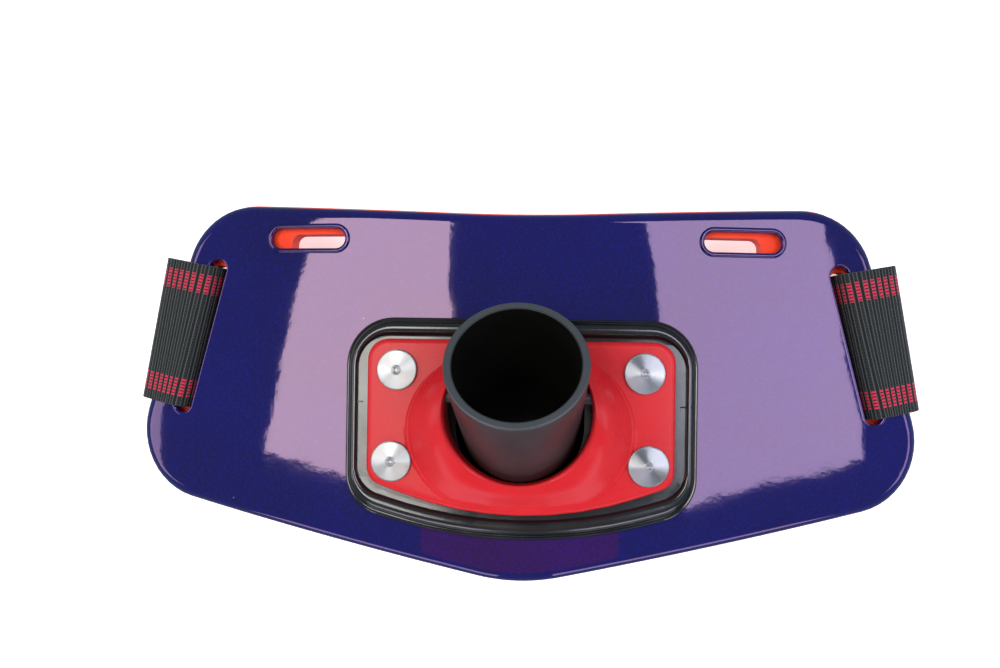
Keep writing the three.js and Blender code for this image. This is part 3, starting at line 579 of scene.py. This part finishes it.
# Handling scuffs: a cloudy change of gloss, and fine lines of 0.3 mm
scuffs = add(housing_plastic, "TexNoise", {"Vector": housing_place, "Scale": 90.0, "Detail": 6.0})
scuffed = add(
    housing_plastic, "MapRange",
    {"Value": scuffs.outputs["Fac"], "From Min": 0.35, "From Max": 0.75, "To Min": 0.14, "To Max": 0.26},
)
feed(housing_plastic, scuffed.outputs["Result"], housing_shader.inputs["Roughness"])
black = add(housing_plastic, "Mix",
            {"Factor": scuffs.outputs["Fac"], "A": paint("#0b0c0d"), "B": paint("#17191b")},
            data_type="RGBA")
feed(housing_plastic, black.outputs[2], housing_shader.inputs["Base Color"])
grain = add(housing_plastic, "TexNoise", {"Vector": housing_place, "Scale": 900.0, "Detail": 2.0})
grain_bump = add(housing_plastic, "Bump", {"Height": grain.outputs["Fac"], "Distance": 0.000008})
feed(housing_plastic, grain_bump.outputs["Normal"], housing_shader.inputs["Normal"])
settle(housing, housing_plastic, "cup_housing", slot="housing_gloss")

# Bezel
# The red nylon moulding riveted on the housing. Its flat face rises to a crescent collar round the
# cup's opening, with a rounded lip at the opening and a fine crease where the collar meets the face.
BEZEL_BACK = SEAT_GAP + FLANGE + SEAT_GAP
BEZEL_THICKNESS = 2.6
BEZEL_FRONT = BEZEL_BACK + BEZEL_THICKNESS
BEZEL_ROLL = 1.8
# The rolled edge: how far in from the outline, and how far down from the flat face
BEZEL_EDGE = [(-1.1, 0.14), (-0.53, 0.53), (-0.14, 1.1), (0.0, BEZEL_ROLL)]
OPENING = {"y": -23.2, "radius": 23.6}
OPENING_TOP = {"y": -18.3, "radius": 22.0}
COLLAR_REACH = 15.3
COLLAR_HEIGHT = 12.2
# By the angle from the belt's lower side: crest and foot as shares of the collar's height and reach
COLLAR = [(0, 0.36, 0.68), (27, 0.4, 0.82), (43, 0.52, 0.96), (58, 0.72, 1.0), (71, 0.9, 1.0),
          (84, 1.0, 0.92), (97, 1.0, 0.76), (110, 0.86, 0.55), (122, 0.5, 0.32), (134, 0.08, 0.12),
          (180, 0.0, 0.06)]
# Across the collar from the opening's edge to its foot: shares of the foot's distance and of the crest
LIP_SHARE = 0.86
COLLAR_PROFILE = [(0, LIP_SHARE), (0.015, 0.92), (0.04, 0.97), (0.075, 1.0), (0.11, 0.995), (0.16, 0.965),
                  (0.23, 0.93), (0.3, 0.89), (0.38, 0.82), (0.46, 0.73), (0.54, 0.62), (0.62, 0.49),
                  (0.7, 0.36), (0.78, 0.235), (0.86, 0.12), (0.925, 0.035), (0.95, 0.03), (0.975, 0.04),
                  (1.0, 0.0)]


def between(table, value, column):
    """A smooth value from a table's column, for a value of its first column."""
    low = max(i for i, row in enumerate(table[:-1]) if row[0] <= value)
    a, b = table[low], table[low + 1]
    before, after = table[max(low - 1, 0)], table[min(low + 2, len(table) - 1)]
    share = (value - a[0]) / (b[0] - a[0])
    slope_a = (b[column] - before[column]) / max(b[0] - before[0], 1e-6) * (b[0] - a[0])
    slope_b = (after[column] - a[column]) / max(after[0] - a[0], 1e-6) * (b[0] - a[0])
    s2, s3 = share**2, share**3
    return (
        a[column] * (2 * s3 - 3 * s2 + 1) + slope_a * (s3 - 2 * s2 + share)
        + b[column] * (3 * s2 - 2 * s3) + slope_b * (s3 - s2)
    )


def opening_reach(angle):
    """Distance of the opening's edge from its middle, in a direction given from the belt's lower side."""
    offset = OPENING_TOP["y"] - OPENING["y"]
    along = -cos(angle) * offset
    across = sin(angle) * offset
    upper = along + sqrt(OPENING_TOP["radius"] ** 2 - across**2)
    return max(OPENING["radius"], upper)


def bezel_edge(angle, grow):
    """Where a ray from the opening's middle leaves the bezel's outline, moved inwards or outwards."""
    way = Vector((sin(angle), -cos(angle)))
    start = Vector((0, OPENING["y"]))
    outline = rounded(BEZEL, grow, 8)
    best = 0
    for a, b in zip(outline, [*outline[1:], outline[0]]):
        side = b - a
        cross = way.x * side.y - way.y * side.x
        if abs(cross) < 1e-9:
            continue
        gap = a - start
        reach = (gap.x * side.y - gap.y * side.x) / cross
        share = (gap.x * way.y - gap.y * way.x) / cross
        if reach > 0 and -1e-6 <= share <= 1 + 1e-6:
            best = max(best, reach)
    return best


# The bezel is a horseshoe: the opening breaks through its top edge, and each arm ends at this angle
NOTCH_HALF_WIDTH = 12.4
NOTCH_HEIGHT = 23.0
NOTCH = pi - atan2(NOTCH_HALF_WIDTH, NOTCH_HEIGHT)
BEZEL_SECTIONS = 240
# Least width of the collar's foot, of the flat beyond it and of a step on the rolled edge
LEAST_FOOT = 0.2
LEAST_FLAT = 0.4
LEAST_STEP = 0.01
# How far below the lip the opening's wall starts to round over
LIP_DROP = 0.5
sections = []
for k in range(BEZEL_SECTIONS + 1):
    angle = -NOTCH + 2 * NOTCH * k / BEZEL_SECTIONS
    off_axis = degrees(abs(angle))
    crest = max(between(COLLAR, off_axis, 1), 0) * COLLAR_HEIGHT
    inner = opening_reach(angle)
    flat_end = bezel_edge(angle, -BEZEL_ROLL)
    foot = min(between(COLLAR, off_axis, 2) * COLLAR_REACH, flat_end - inner - LEAST_FLAT)
    foot = max(foot, LEAST_FOOT)
    section = [(inner, BEZEL_BACK), (inner, BEZEL_FRONT + LIP_SHARE * crest - LIP_DROP)]
    section += [(inner + out * foot, BEZEL_FRONT + up * crest) for out, up in COLLAR_PROFILE]
    flat = max(flat_end - inner - foot, LEAST_FLAT)
    section += [(inner + foot + flat * share, BEZEL_FRONT) for share in (0.06, 0.3, 0.6, 1)]
    for grow, drop in BEZEL_EDGE:
        section.append((max(bezel_edge(angle, grow), section[-1][0] + LEAST_STEP), BEZEL_FRONT - drop))
    section.append((section[-1][0], BEZEL_BACK))
    ring = []
    for reach, height in section:
        x = sin(angle) * reach
        ring.append((x, OPENING["y"] - cos(angle) * reach, bent(x, height)))
    sections.append(ring)
bezel = skin("red_bezel", sections)

# Moulded red nylon: a full red with a soft sheen that follows the collar's slopes
red_nylon, red_shader = finish(
    "red_moulded_nylon",
    {"IOR": 1.5, "Specular IOR Level": 0.15, "Subsurface Weight": 0.04, "Subsurface Scale": 0.001},
)
red_place = add(red_nylon, "TexCoord").outputs["Object"]
# A slight change of tone over 15 mm, and a moulded grain of 0.4 mm
tone = add(red_nylon, "TexNoise", {"Vector": red_place, "Scale": 65.0, "Detail": 4.0})
reds = add(red_nylon, "Mix", {"Factor": tone.outputs["Fac"], "A": paint("#b41c22"), "B": paint("#c4262c")},
           data_type="RGBA")
feed(red_nylon, reds.outputs[2], red_shader.inputs["Base Color"])
gloss = add(red_nylon, "MapRange", {"Value": tone.outputs["Fac"], "From Min": 0.3, "From Max": 0.7,
                                    "To Min": 0.24, "To Max": 0.33})
feed(red_nylon, gloss.outputs["Result"], red_shader.inputs["Roughness"])
red_grain = add(red_nylon, "TexNoise", {"Vector": red_place, "Scale": 2400.0, "Detail": 2.0})
red_bump = add(red_nylon, "Bump", {"Height": red_grain.outputs["Fac"], "Distance": 0.000012})
feed(red_nylon, red_bump.outputs["Normal"], red_shader.inputs["Normal"])
settle(bezel, red_nylon, "bezel", slot="bezel_gloss", smooth=50)

# Rod cup
# A tapered cup of black satin nylon with a thick wall, a flat rim and a round bottom. It turns on two
# trunnions in the bezel's collar and is shown tipped towards the belt's top edge.
CUP_TILT = radians(31.7)
CUP_MOUTH_RADIUS = 22.5
CUP_BASE_RADIUS = 19.5
CUP_WALL = 2.8
CUP_MOUTH_REACH = 21.3
CUP_SEAT_RADIUS = 6
CUP_RIM_ROUND = 0.7
CUP_LIP_ROUND = 0.5
TRUNNION_RADIUS = 2.2
TRUNNION_START = 18.1
TRUNNION_END = 26.0


def turned(profile, sides):
    """Rings of points round the z axis, from a profile of radius and height."""
    angles = [2 * pi * k / sides for k in range(sides)]
    return [[(r * cos(a), r * sin(a), z) for a in angles] for r, z in profile]


inner_base = CUP_BASE_RADIUS - CUP_WALL
seat_drop = sqrt(inner_base**2 - CUP_SEAT_RADIUS**2)
seat_angle = atan2(seat_drop, CUP_SEAT_RADIUS)
cup_profile = []
for k in range(17):
    angle = -pi / 2 * (1 - k / 16)
    base_radius = max(CUP_BASE_RADIUS * cos(angle), 0)
    cup_profile.append((base_radius, CUP_BASE_RADIUS * sin(angle) - CUP_BASE_REACH))
# The outer taper ends a little under the rim
cup_profile.append((CUP_MOUTH_RADIUS - 0.15, CUP_MOUTH_REACH - 2.4))
for turn_radius, rounding, first in (
    (CUP_MOUTH_RADIUS - CUP_RIM_ROUND, CUP_RIM_ROUND, 0),
    (CUP_MOUTH_RADIUS - CUP_WALL + CUP_LIP_ROUND, CUP_LIP_ROUND, 1),
):
    for k in range(5):
        angle = pi / 2 * (first + k / 4)
        rim_height = CUP_MOUTH_REACH - rounding + rounding * sin(angle)
        cup_profile.append((turn_radius + rounding * cos(angle), rim_height))
for k in range(13):
    angle = -seat_angle * k / 12
    cup_profile.append((inner_base * cos(angle), inner_base * sin(angle) - CUP_BASE_REACH))
cup_profile.append((0, -CUP_BASE_REACH - seat_drop))
cup = skin("rod_cup_body", turned(cup_profile, 128))
for side in (-1, 1):
    bpy.ops.mesh.primitive_cylinder_add(
        vertices=40,
        radius=TRUNNION_RADIUS,
        depth=TRUNNION_END - TRUNNION_START,
        location=(side * (TRUNNION_START + TRUNNION_END) / 2, 0, 0),
        rotation=(0, pi / 2, 0),
    )
    stub = bpy.context.object
    bpy.ops.object.transform_apply(location=True, rotation=True, scale=True)
    edit(stub)
    pick(stub, "EDGE", lambda edge: all(abs(vertex.co.x) > TRUNNION_END - 0.1 for vertex in edge.verts))
    bpy.ops.mesh.bevel(offset=0.4, segments=3, affect="EDGES")
    leave()
    combine(cup, stub, "UNION")
cup.data.transform(Matrix.Translation(HINGE) @ Matrix.Rotation(-CUP_TILT, 4, "X"))

# Moulded nylon with a satin skin: broad soft highlights on a warm black
cup_nylon, cup_shader = finish("black_satin_nylon", {"IOR": 1.53})
cup_place = add(cup_nylon, "TexCoord").outputs["Object"]
# A fine moulded grain of 0.5 mm, and greasy marks that change the gloss
cup_grain = add(cup_nylon, "TexNoise", {"Vector": cup_place, "Scale": 2000.0, "Detail": 2.0})
cup_bump = add(cup_nylon, "Bump", {"Height": cup_grain.outputs["Fac"], "Distance": 0.00002})
feed(cup_nylon, cup_bump.outputs["Normal"], cup_shader.inputs["Normal"])
marks = add(cup_nylon, "TexNoise", {"Vector": cup_place, "Scale": 70.0, "Detail": 5.0})
marked = add(cup_nylon, "MapRange", {"Value": marks.outputs["Fac"], "From Min": 0.3, "From Max": 0.7,
                                     "To Min": 0.34, "To Max": 0.48})
feed(cup_nylon, marked.outputs["Result"], cup_shader.inputs["Roughness"])
cup_black = add(cup_nylon, "Mix",
                {"Factor": marks.outputs["Fac"], "A": paint("#262120"), "B": paint("#373030")},
                data_type="RGBA")
# In the cup's own frame: the flat rim is painted a lighter slate grey, a painted highlight for the light it
# catches, and the inside is painted a duller black with less shine as painted shade.
# The inside is all that lies nearer to the axis than the middle of the wall, which widens by CUP_TAPER to
# the mouth.
CUP_TAPER = 0.076
cup_frame = add(
    cup_nylon, "Mapping",
    {"Vector": cup_place, "Location": BELT + HINGE * MM, "Rotation": (-CUP_TILT, 0, 0)},
    vector_type="TEXTURE",
)
cup_axes = add(cup_nylon, "SeparateXYZ", {"Vector": cup_frame.outputs["Vector"]})
x_square = add(cup_nylon, "Math", {0: cup_axes.outputs["X"], 1: 2.0}, operation="POWER")
y_square = add(cup_nylon, "Math", {0: cup_axes.outputs["Y"], 1: 2.0}, operation="POWER")
square = add(cup_nylon, "Math", {0: x_square.outputs[0], 1: y_square.outputs[0]}, operation="ADD")
from_axis = add(cup_nylon, "Math", {0: square.outputs[0], 1: 0.5}, operation="POWER")
taper = add(cup_nylon, "Math", {0: cup_axes.outputs["Z"], 1: -CUP_TAPER, 2: from_axis.outputs[0]},
            operation="MULTIPLY_ADD")
# Painted shade: this mask paints the cup's inside a duller black and lowers its shine
inside = add(cup_nylon, "MapRange", {"Value": taper.outputs[0], "From Min": 0.0188, "From Max": 0.0182})
# Painted highlight: this mask paints the flat rim a lighter slate grey
rim_highlight_mask = add(cup_nylon, "MapRange",
             {"Value": cup_axes.outputs["Z"], "From Min": 0.0206, "From Max": 0.0211})
rim_painted_highlight = add(cup_nylon, "Mix", {"Factor": rim_highlight_mask.outputs["Result"], "B": paint("#34393c")},
               data_type="RGBA")
feed(cup_nylon, cup_black.outputs[2], rim_painted_highlight.inputs[6])
inner_painted_shade = add(cup_nylon, "Mix", {"Factor": inside.outputs["Result"], "B": paint("#0c0c0a")},
                 data_type="RGBA")
feed(cup_nylon, rim_painted_highlight.outputs[2], inner_painted_shade.inputs[6])
feed(cup_nylon, inner_painted_shade.outputs[2], cup_shader.inputs["Base Color"])
inner_shine = add(cup_nylon, "MapRange",
                  {"Value": inside.outputs["Result"], "To Min": 0.45, "To Max": 0.14})
feed(cup_nylon, inner_shine.outputs["Result"], cup_shader.inputs["Specular IOR Level"])
settle(cup, cup_nylon, "rod_cup", body="rod_cup", slot="cup_satin")

# Rivets
# Four turned aluminium caps hold bezel, housing and plate together. Each is a shallow cone with a small
# dimpled nib, and its turning marks spread the light in fans.
RIVET_RADIUS = 6.65
RIVET_SEATS = {
    "rivet_upper": (40.3, -10.4),
    "rivet_lower": (41.9, -40.4),
}
# Radius and height from the middle of the back, round the rim and over the cone to the nib's dimple
rivet_profile = [(0, 0.02), (6.3, 0.02), (6.55, 0.1), (RIVET_RADIUS, 0.35), (RIVET_RADIUS, 0.85),
                 (6.58, 1.05), (6.42, 1.17), (6.2, 1.22), (4.6, 1.48), (3.0, 1.7), (1.75, 1.86), (1.5, 1.9),
                 (1.38, 1.96), (1.28, 2.06), (1.12, 2.1), (0.95, 2.05), (0.75, 1.85), (0.4, 1.72), (0, 1.68)]
# Aluminium turned on a lathe: a bright grey on which the fine rings draw fans of light
aluminium, aluminium_shader = finish(
    "turned_aluminium",
    {"Base Color": paint("#939497"), "Metallic": 1.0, "Roughness": 0.34, "Anisotropic": 0.95,
     "Anisotropic Rotation": 0.25},
)
# The cap's own map runs round it and then inwards: 0.12 mm turning marks across it
turning_map = add(aluminium, "UVMap").outputs["UV"]
turning_line = add(aluminium, "SeparateXYZ", {"Vector": turning_map})
turning_wave = add(aluminium, "Math", {0: turning_line.outputs["Y"], 1: 340.0}, operation="MULTIPLY")
turning_ridge = add(aluminium, "Math", {0: turning_wave.outputs[0]}, operation="SINE")
turning_bump = add(aluminium, "Bump",
                   {"Height": turning_ridge.outputs[0], "Distance": 0.000012, "Strength": 0.5})
feed(aluminium, turning_bump.outputs["Normal"], aluminium_shader.inputs["Normal"])
turning_way = add(aluminium, "Tangent", direction_type="UV_MAP")
feed(aluminium, turning_way.outputs["Tangent"], aluminium_shader.inputs["Tangent"])
for name, (x, y) in RIVET_SEATS.items():
    for side, hand in ((-1, "left"), (1, "right")):
        rivet = skin(f"{name}_{hand}_cap", turned(rivet_profile, 64))
        turn = Matrix.Rotation(asin(side * x / BEND_RADIUS), 4, "Y")
        rivet.data.transform(Matrix.Translation((side * x, y, bent(x, BEZEL_FRONT))) @ turn)
        settle(rivet, aluminium, f"{name}_{hand}", slot="rivet", smooth=25)

# Waist strap
# Black ribbed elastic webbing, 50 mm wide, with a dashed red stripe near each edge. It comes up through
# the plate's slot, turns over the side bar and runs under the belt to the buckle.
STRAP_WIDTH = 50
STRAP_THICKNESS = 1.5
STRAP_TILT = radians(11)
FOLD_RUN = 8
FOLD_MIDDLE = Vector((130.48, 2.5))
RIB = 2.4
DASH = 1.1
# A groove between two ribs has this share of the thickness
GROOVE = 0.62
BUCKLE = {"length": 56, "bar": 4, "window": 10, "rail": 4, "thickness": 3, "spare": 3}
half = STRAP_THICKNESS / 2
along = Vector((cos(STRAP_TILT), sin(STRAP_TILT)))
crossways = Vector((-along.y, along.x))
floor_z = -BELT.z / MM
main_z = floor_z + half
tail_z = main_z + STRAP_THICKNESS + SEAT_GAP
buckle_z = floor_z + STRAP_THICKNESS + SEAT_GAP
square_x = BUCKLE["length"] / 2 + 6
bend_start = FOLD_MIDDLE - along * FOLD_RUN
bend_radius = (bend_start.x - square_x) / along.y
bend_centre = bend_start + crossways * bend_radius
square_run = FOLD_RUN + bend_radius * STRAP_TILT
buckle_y = bend_centre.y - bend_radius


def strap_place(run, across):
    """A place on the right strap seen from the front: run inwards from the fold, across over its width."""
    if run <= FOLD_RUN:
        return FOLD_MIDDLE - along * run + crossways * across
    if run >= square_run:
        return Vector((square_x - (run - square_run), buckle_y + across))
    heading = STRAP_TILT - (run - FOLD_RUN) / bend_radius
    return bend_centre + Vector((-sin(heading), cos(heading))) * (across - bend_radius)


def round_bar(run, z, start, stops=(0, 0.5, 1)):
    """The strap's turn round one corner of the buckle's bar."""
    turns = [start + share * pi / 2 for share in stops]
    return [(run + (SEAT_GAP + half) * sin(a), z - (SEAT_GAP + half) * cos(a)) for a in turns]


def strap_stations(across):
    """The strap's route at one place across its width, from its sewn tail to its free tail.

    It lies under the pad, comes up through the slot, crosses the side bar, folds over the pad's edge,
    runs back under the belt and turns round the buckle's bar.
    """
    normal = Vector((cos(SLOT_LEAN), sin(SLOT_LEAN)))
    offset = strap_place(0, across) - Vector((STRAP_SLOT["x"], STRAP_SLOT["y"]))
    slot = offset.dot(normal) / along.dot(normal)

    def over(run, lift):
        return bent(strap_place(run, across).x) + half + lift

    bar_run = square_run + square_x - BUCKLE["length"] / 2
    over_bar = buckle_z + BUCKLE["thickness"] + SEAT_GAP + half
    fold_top = over(4, 0)
    stations = [
        (slot - 14, tail_z),
        (slot - 7, tail_z),
        (slot - 1.6, tail_z),
        (slot + 0.4, tail_z + 0.7),
        (slot + 1.2, tail_z + 2.6),
        (slot + 1.5, (tail_z + over(slot, 0)) / 2),
        (slot + 1.4, over(slot, -6.2)),
        (slot + 0.4, over(slot, -3.2)),
        (slot - 1.7, over(slot, -0.3)),
        (slot - 4.2, over(slot - 4.2, 0.9)),
        ((slot + 5) / 2, over((slot + 5) / 2, 1)),
        (5, fold_top + 0.6),
        (1.8, fold_top - 1),
        (0.3, fold_top - 4),
        (0, (fold_top + main_z) / 2),
        (0.4, main_z + 4),
        (2.2, main_z + 1),
        (5, main_z),
        (FOLD_RUN, main_z),
        ((FOLD_RUN + square_run) / 3, main_z),
        (2 * (FOLD_RUN + square_run) / 3, main_z),
        (square_run, main_z),
        (bar_run, main_z),
        *round_bar(bar_run + BUCKLE["bar"], buckle_z, 0),
        *round_bar(bar_run + BUCKLE["bar"], buckle_z + BUCKLE["thickness"], pi / 2),
        *round_bar(bar_run, buckle_z + BUCKLE["thickness"], pi, (0, 0.5)),
        (bar_run - 3.5, (over_bar + tail_z) / 2),
        (bar_run - 7, tail_z + 0.1),
        (bar_run - 9, tail_z),
        (bar_run - 18, tail_z),
    ]
    return [Vector((*strap_place(run, across), z)) for run, z in stations]


def through(stations, share):
    """A point of the smooth curve through the stations, at a share of the way along it."""
    spot = min(share * (len(stations) - 1), len(stations) - 1.000001)
    i = floor(spot)
    t = spot - i
    p1, p2 = stations[i], stations[i + 1]
    p0 = stations[i - 1] if i else p1 * 2 - p2
    p3 = stations[i + 2] if i + 2 < len(stations) else p2 * 2 - p1
    d0, d1, d2 = sqrt((p1 - p0).length), sqrt((p2 - p1).length), sqrt((p3 - p2).length)
    slope1 = ((p1 - p0) / d0 - (p2 - p0) / (d0 + d1) + (p2 - p1) / d1) * d1
    slope2 = ((p2 - p1) / d1 - (p3 - p1) / (d1 + d2) + (p3 - p2) / d2) * d1
    return (
        p1 * (2 * t**3 - 3 * t**2 + 1) + slope1 * (t**3 - 2 * t**2 + t)
        + p2 * (3 * t**2 - 2 * t**3) + slope2 * (t**3 - t**2)
    )


# Shares of the way that lie an even step apart along the strap's middle
RIB_STEPS = 6
FINE = 3000
middle_line = strap_stations(0)
fine_points = [through(middle_line, k / FINE) for k in range(FINE + 1)]
lengths = [0.0]
for a, b in zip(fine_points, fine_points[1:]):
    lengths.append(lengths[-1] + (b - a).length)
strap_length = lengths[-1]
row_count = int(strap_length / RIB * RIB_STEPS)
shares = []
k = 0
for i in range(row_count + 1):
    while k < FINE and lengths[k] < strap_length * i / row_count:
        k += 1
    shares.append(k / FINE)
COLUMNS = 36
strap_lines = [strap_stations(STRAP_WIDTH * (j / COLUMNS - 0.5)) for j in range(COLUMNS + 1)]

# Woven elastic webbing in black yarn: matt ribs, painted shade that darkens the grooves between them, and
# knitted red dashes near the edges
webbing, webbing_shader = finish(
    "ribbed_elastic_webbing",
    {"Roughness": 0.85, "Specular IOR Level": 0.25, "Sheen Weight": 0.12, "Sheen Roughness": 0.4},
)
# The webbing's own map runs along it and across it: counted here in ribs and in dashes
webbing_map = add(webbing, "UVMap").outputs["UV"]
counted = add(webbing, "Mapping",
              {"Vector": webbing_map, "Scale": (strap_length / RIB, STRAP_WIDTH / DASH, 1)})
counts = add(webbing, "SeparateXYZ", {"Vector": counted.outputs["Vector"]})
rib_middle = add(webbing, "Math", {0: counts.outputs["X"], 1: 0.5}, operation="PINGPONG")
dash_middle = add(webbing, "Math", {0: counts.outputs["Y"], 1: 0.5}, operation="PINGPONG")
column = add(webbing, "MapRange", {"Value": rib_middle.outputs[0], "From Min": 0.17, "From Max": 0.25})
dash = add(webbing, "MapRange", {"Value": dash_middle.outputs[0], "From Min": 0.12, "From Max": 0.22})
across_share = add(webbing, "SeparateXYZ", {"Vector": webbing_map})
edge_distance = add(webbing, "Math", {0: across_share.outputs["Y"], 1: 0.5}, operation="PINGPONG")
# The stripe lies 3.2 to 9.8 mm in from each edge
in_stripe = add(
    webbing, "Math", {0: edge_distance.outputs[0], 1: 6.5 / STRAP_WIDTH, 2: 3.3 / STRAP_WIDTH},
    operation="COMPARE",
)
knit = add(webbing, "Math", {0: column.outputs["Result"], 1: dash.outputs["Result"]}, operation="MULTIPLY")
red_dash = add(webbing, "Math", {0: knit.outputs[0], 1: in_stripe.outputs[0]}, operation="MULTIPLY")
fuzz = add(webbing, "TexNoise", {"Vector": counted.outputs["Vector"], "Scale": 2.5, "Detail": 3.0})
yarn = add(webbing, "Mix", {"Factor": fuzz.outputs["Fac"], "A": paint("#0f1111"), "B": paint("#242828")},
           data_type="RGBA")
# Two fine grey cords run along both sides of each rib, and the knit crosses them in zigzags
zigzag = add(webbing, "Math", {0: dash_middle.outputs[0], 1: 0.16, 2: 0.22}, operation="MULTIPLY_ADD")
cord = add(webbing, "Math", {0: rib_middle.outputs[0], 1: zigzag.outputs[0], 2: 0.05}, operation="COMPARE")
corded = add(webbing, "Mix", {"Factor": cord.outputs[0], "B": paint("#484d4c")}, data_type="RGBA")
feed(webbing, yarn.outputs[2], corded.inputs[6])
# Painted shade: the grooves between the ribs are painted near black
groove_shade_mask = add(webbing, "MapRange", {"Value": rib_middle.outputs[0], "From Min": 0.04, "From Max": 0.14})
painted_groove_shade = add(webbing, "Mix", {"Factor": groove_shade_mask.outputs["Result"], "A": paint("#0c0d0e")}, data_type="RGBA")
feed(webbing, corded.outputs[2], painted_groove_shade.inputs[7])
striped = add(webbing, "Mix", {"Factor": red_dash.outputs[0], "B": paint("#bd2a44")}, data_type="RGBA")
feed(webbing, painted_groove_shade.outputs[2], striped.inputs[6])
feed(webbing, striped.outputs[2], webbing_shader.inputs["Base Color"])
webbing_bump = add(webbing, "Bump", {"Height": knit.outputs[0], "Distance": 0.00025, "Strength": 0.8})
feed(webbing, webbing_bump.outputs["Normal"], webbing_shader.inputs["Normal"])

for side, hand in ((-1, "left"), (1, "right")):
    bpy.ops.mesh.primitive_grid_add(x_subdivisions=row_count, y_subdivisions=COLUMNS)
    strap = bpy.context.object
    strap.name = f"elastic_strap_{hand}"
    places = [through(line, share) for line in strap_lines for share in shares]
    for vertex, place in zip(strap.data.vertices, places):
        vertex.co = (side * place.x, place.y, place.z)
    edit(strap)
    bpy.ops.mesh.normals_make_consistent(inside=False)
    leave()
    ribs = strap.vertex_groups.new(name="ribs")
    for index in range(len(places)):
        phase = (index % (row_count + 1)) / RIB_STEPS
        ribs.add([index], GROOVE + (1 - GROOVE) * sqrt(abs(sin(pi * phase))), "REPLACE")
    modifier = strap.modifiers.new("thickness", "SOLIDIFY")
    modifier.thickness = STRAP_THICKNESS
    modifier.offset = 0
    modifier.vertex_group = "ribs"
    bpy.ops.object.modifier_apply(modifier=modifier.name)
    for vertex in strap.data.vertices:
        vertex.co.z = max(vertex.co.z, floor_z)
    settle(strap, webbing, f"strap_{hand}", slot="webbing", smooth=60)

# Buckle
# One closed piece of black acetal under the arch of the plate. Each strap turns round one of its bars.
window_length = STRAP_WIDTH + BUCKLE["spare"]
window_x = BUCKLE["length"] / 2 - BUCKLE["bar"] - BUCKLE["window"] / 2
buckle_outline = slot_corners(0, buckle_y, BUCKLE["length"], window_length + 2 * BUCKLE["rail"], radius=4)
buckle = slab("closed_buckle", rounded(buckle_outline), buckle_z, buckle_z + BUCKLE["thickness"])
for side in (-1, 1):
    window = slot_corners(side * window_x, buckle_y, BUCKLE["window"], window_length, radius=1.5)
    combine(buckle, slab("cut", rounded(window), buckle_z - CUT_REACH, buckle_z + CUT_REACH))
modifier = buckle.modifiers.new("soft_edges", "BEVEL")
modifier.width = 0.5
modifier.segments = 3
modifier.limit_method = "ANGLE"
bpy.ops.object.modifier_apply(modifier=modifier.name)
# Moulded acetal: a waxy black with a low gloss
acetal, acetal_shader = finish(
    "black_acetal", {"Base Color": paint("#141516"), "Roughness": 0.38, "IOR": 1.48}
)
acetal_place = add(acetal, "TexCoord").outputs["Object"]
acetal_grain = add(acetal, "TexNoise", {"Vector": acetal_place, "Scale": 1800.0, "Detail": 2.0})
acetal_bump = add(acetal, "Bump", {"Height": acetal_grain.outputs["Fac"], "Distance": 0.00003})
feed(acetal, acetal_bump.outputs["Normal"], acetal_shader.inputs["Normal"])
settle(buckle, acetal, "buckle", slot="buckle_plastic")
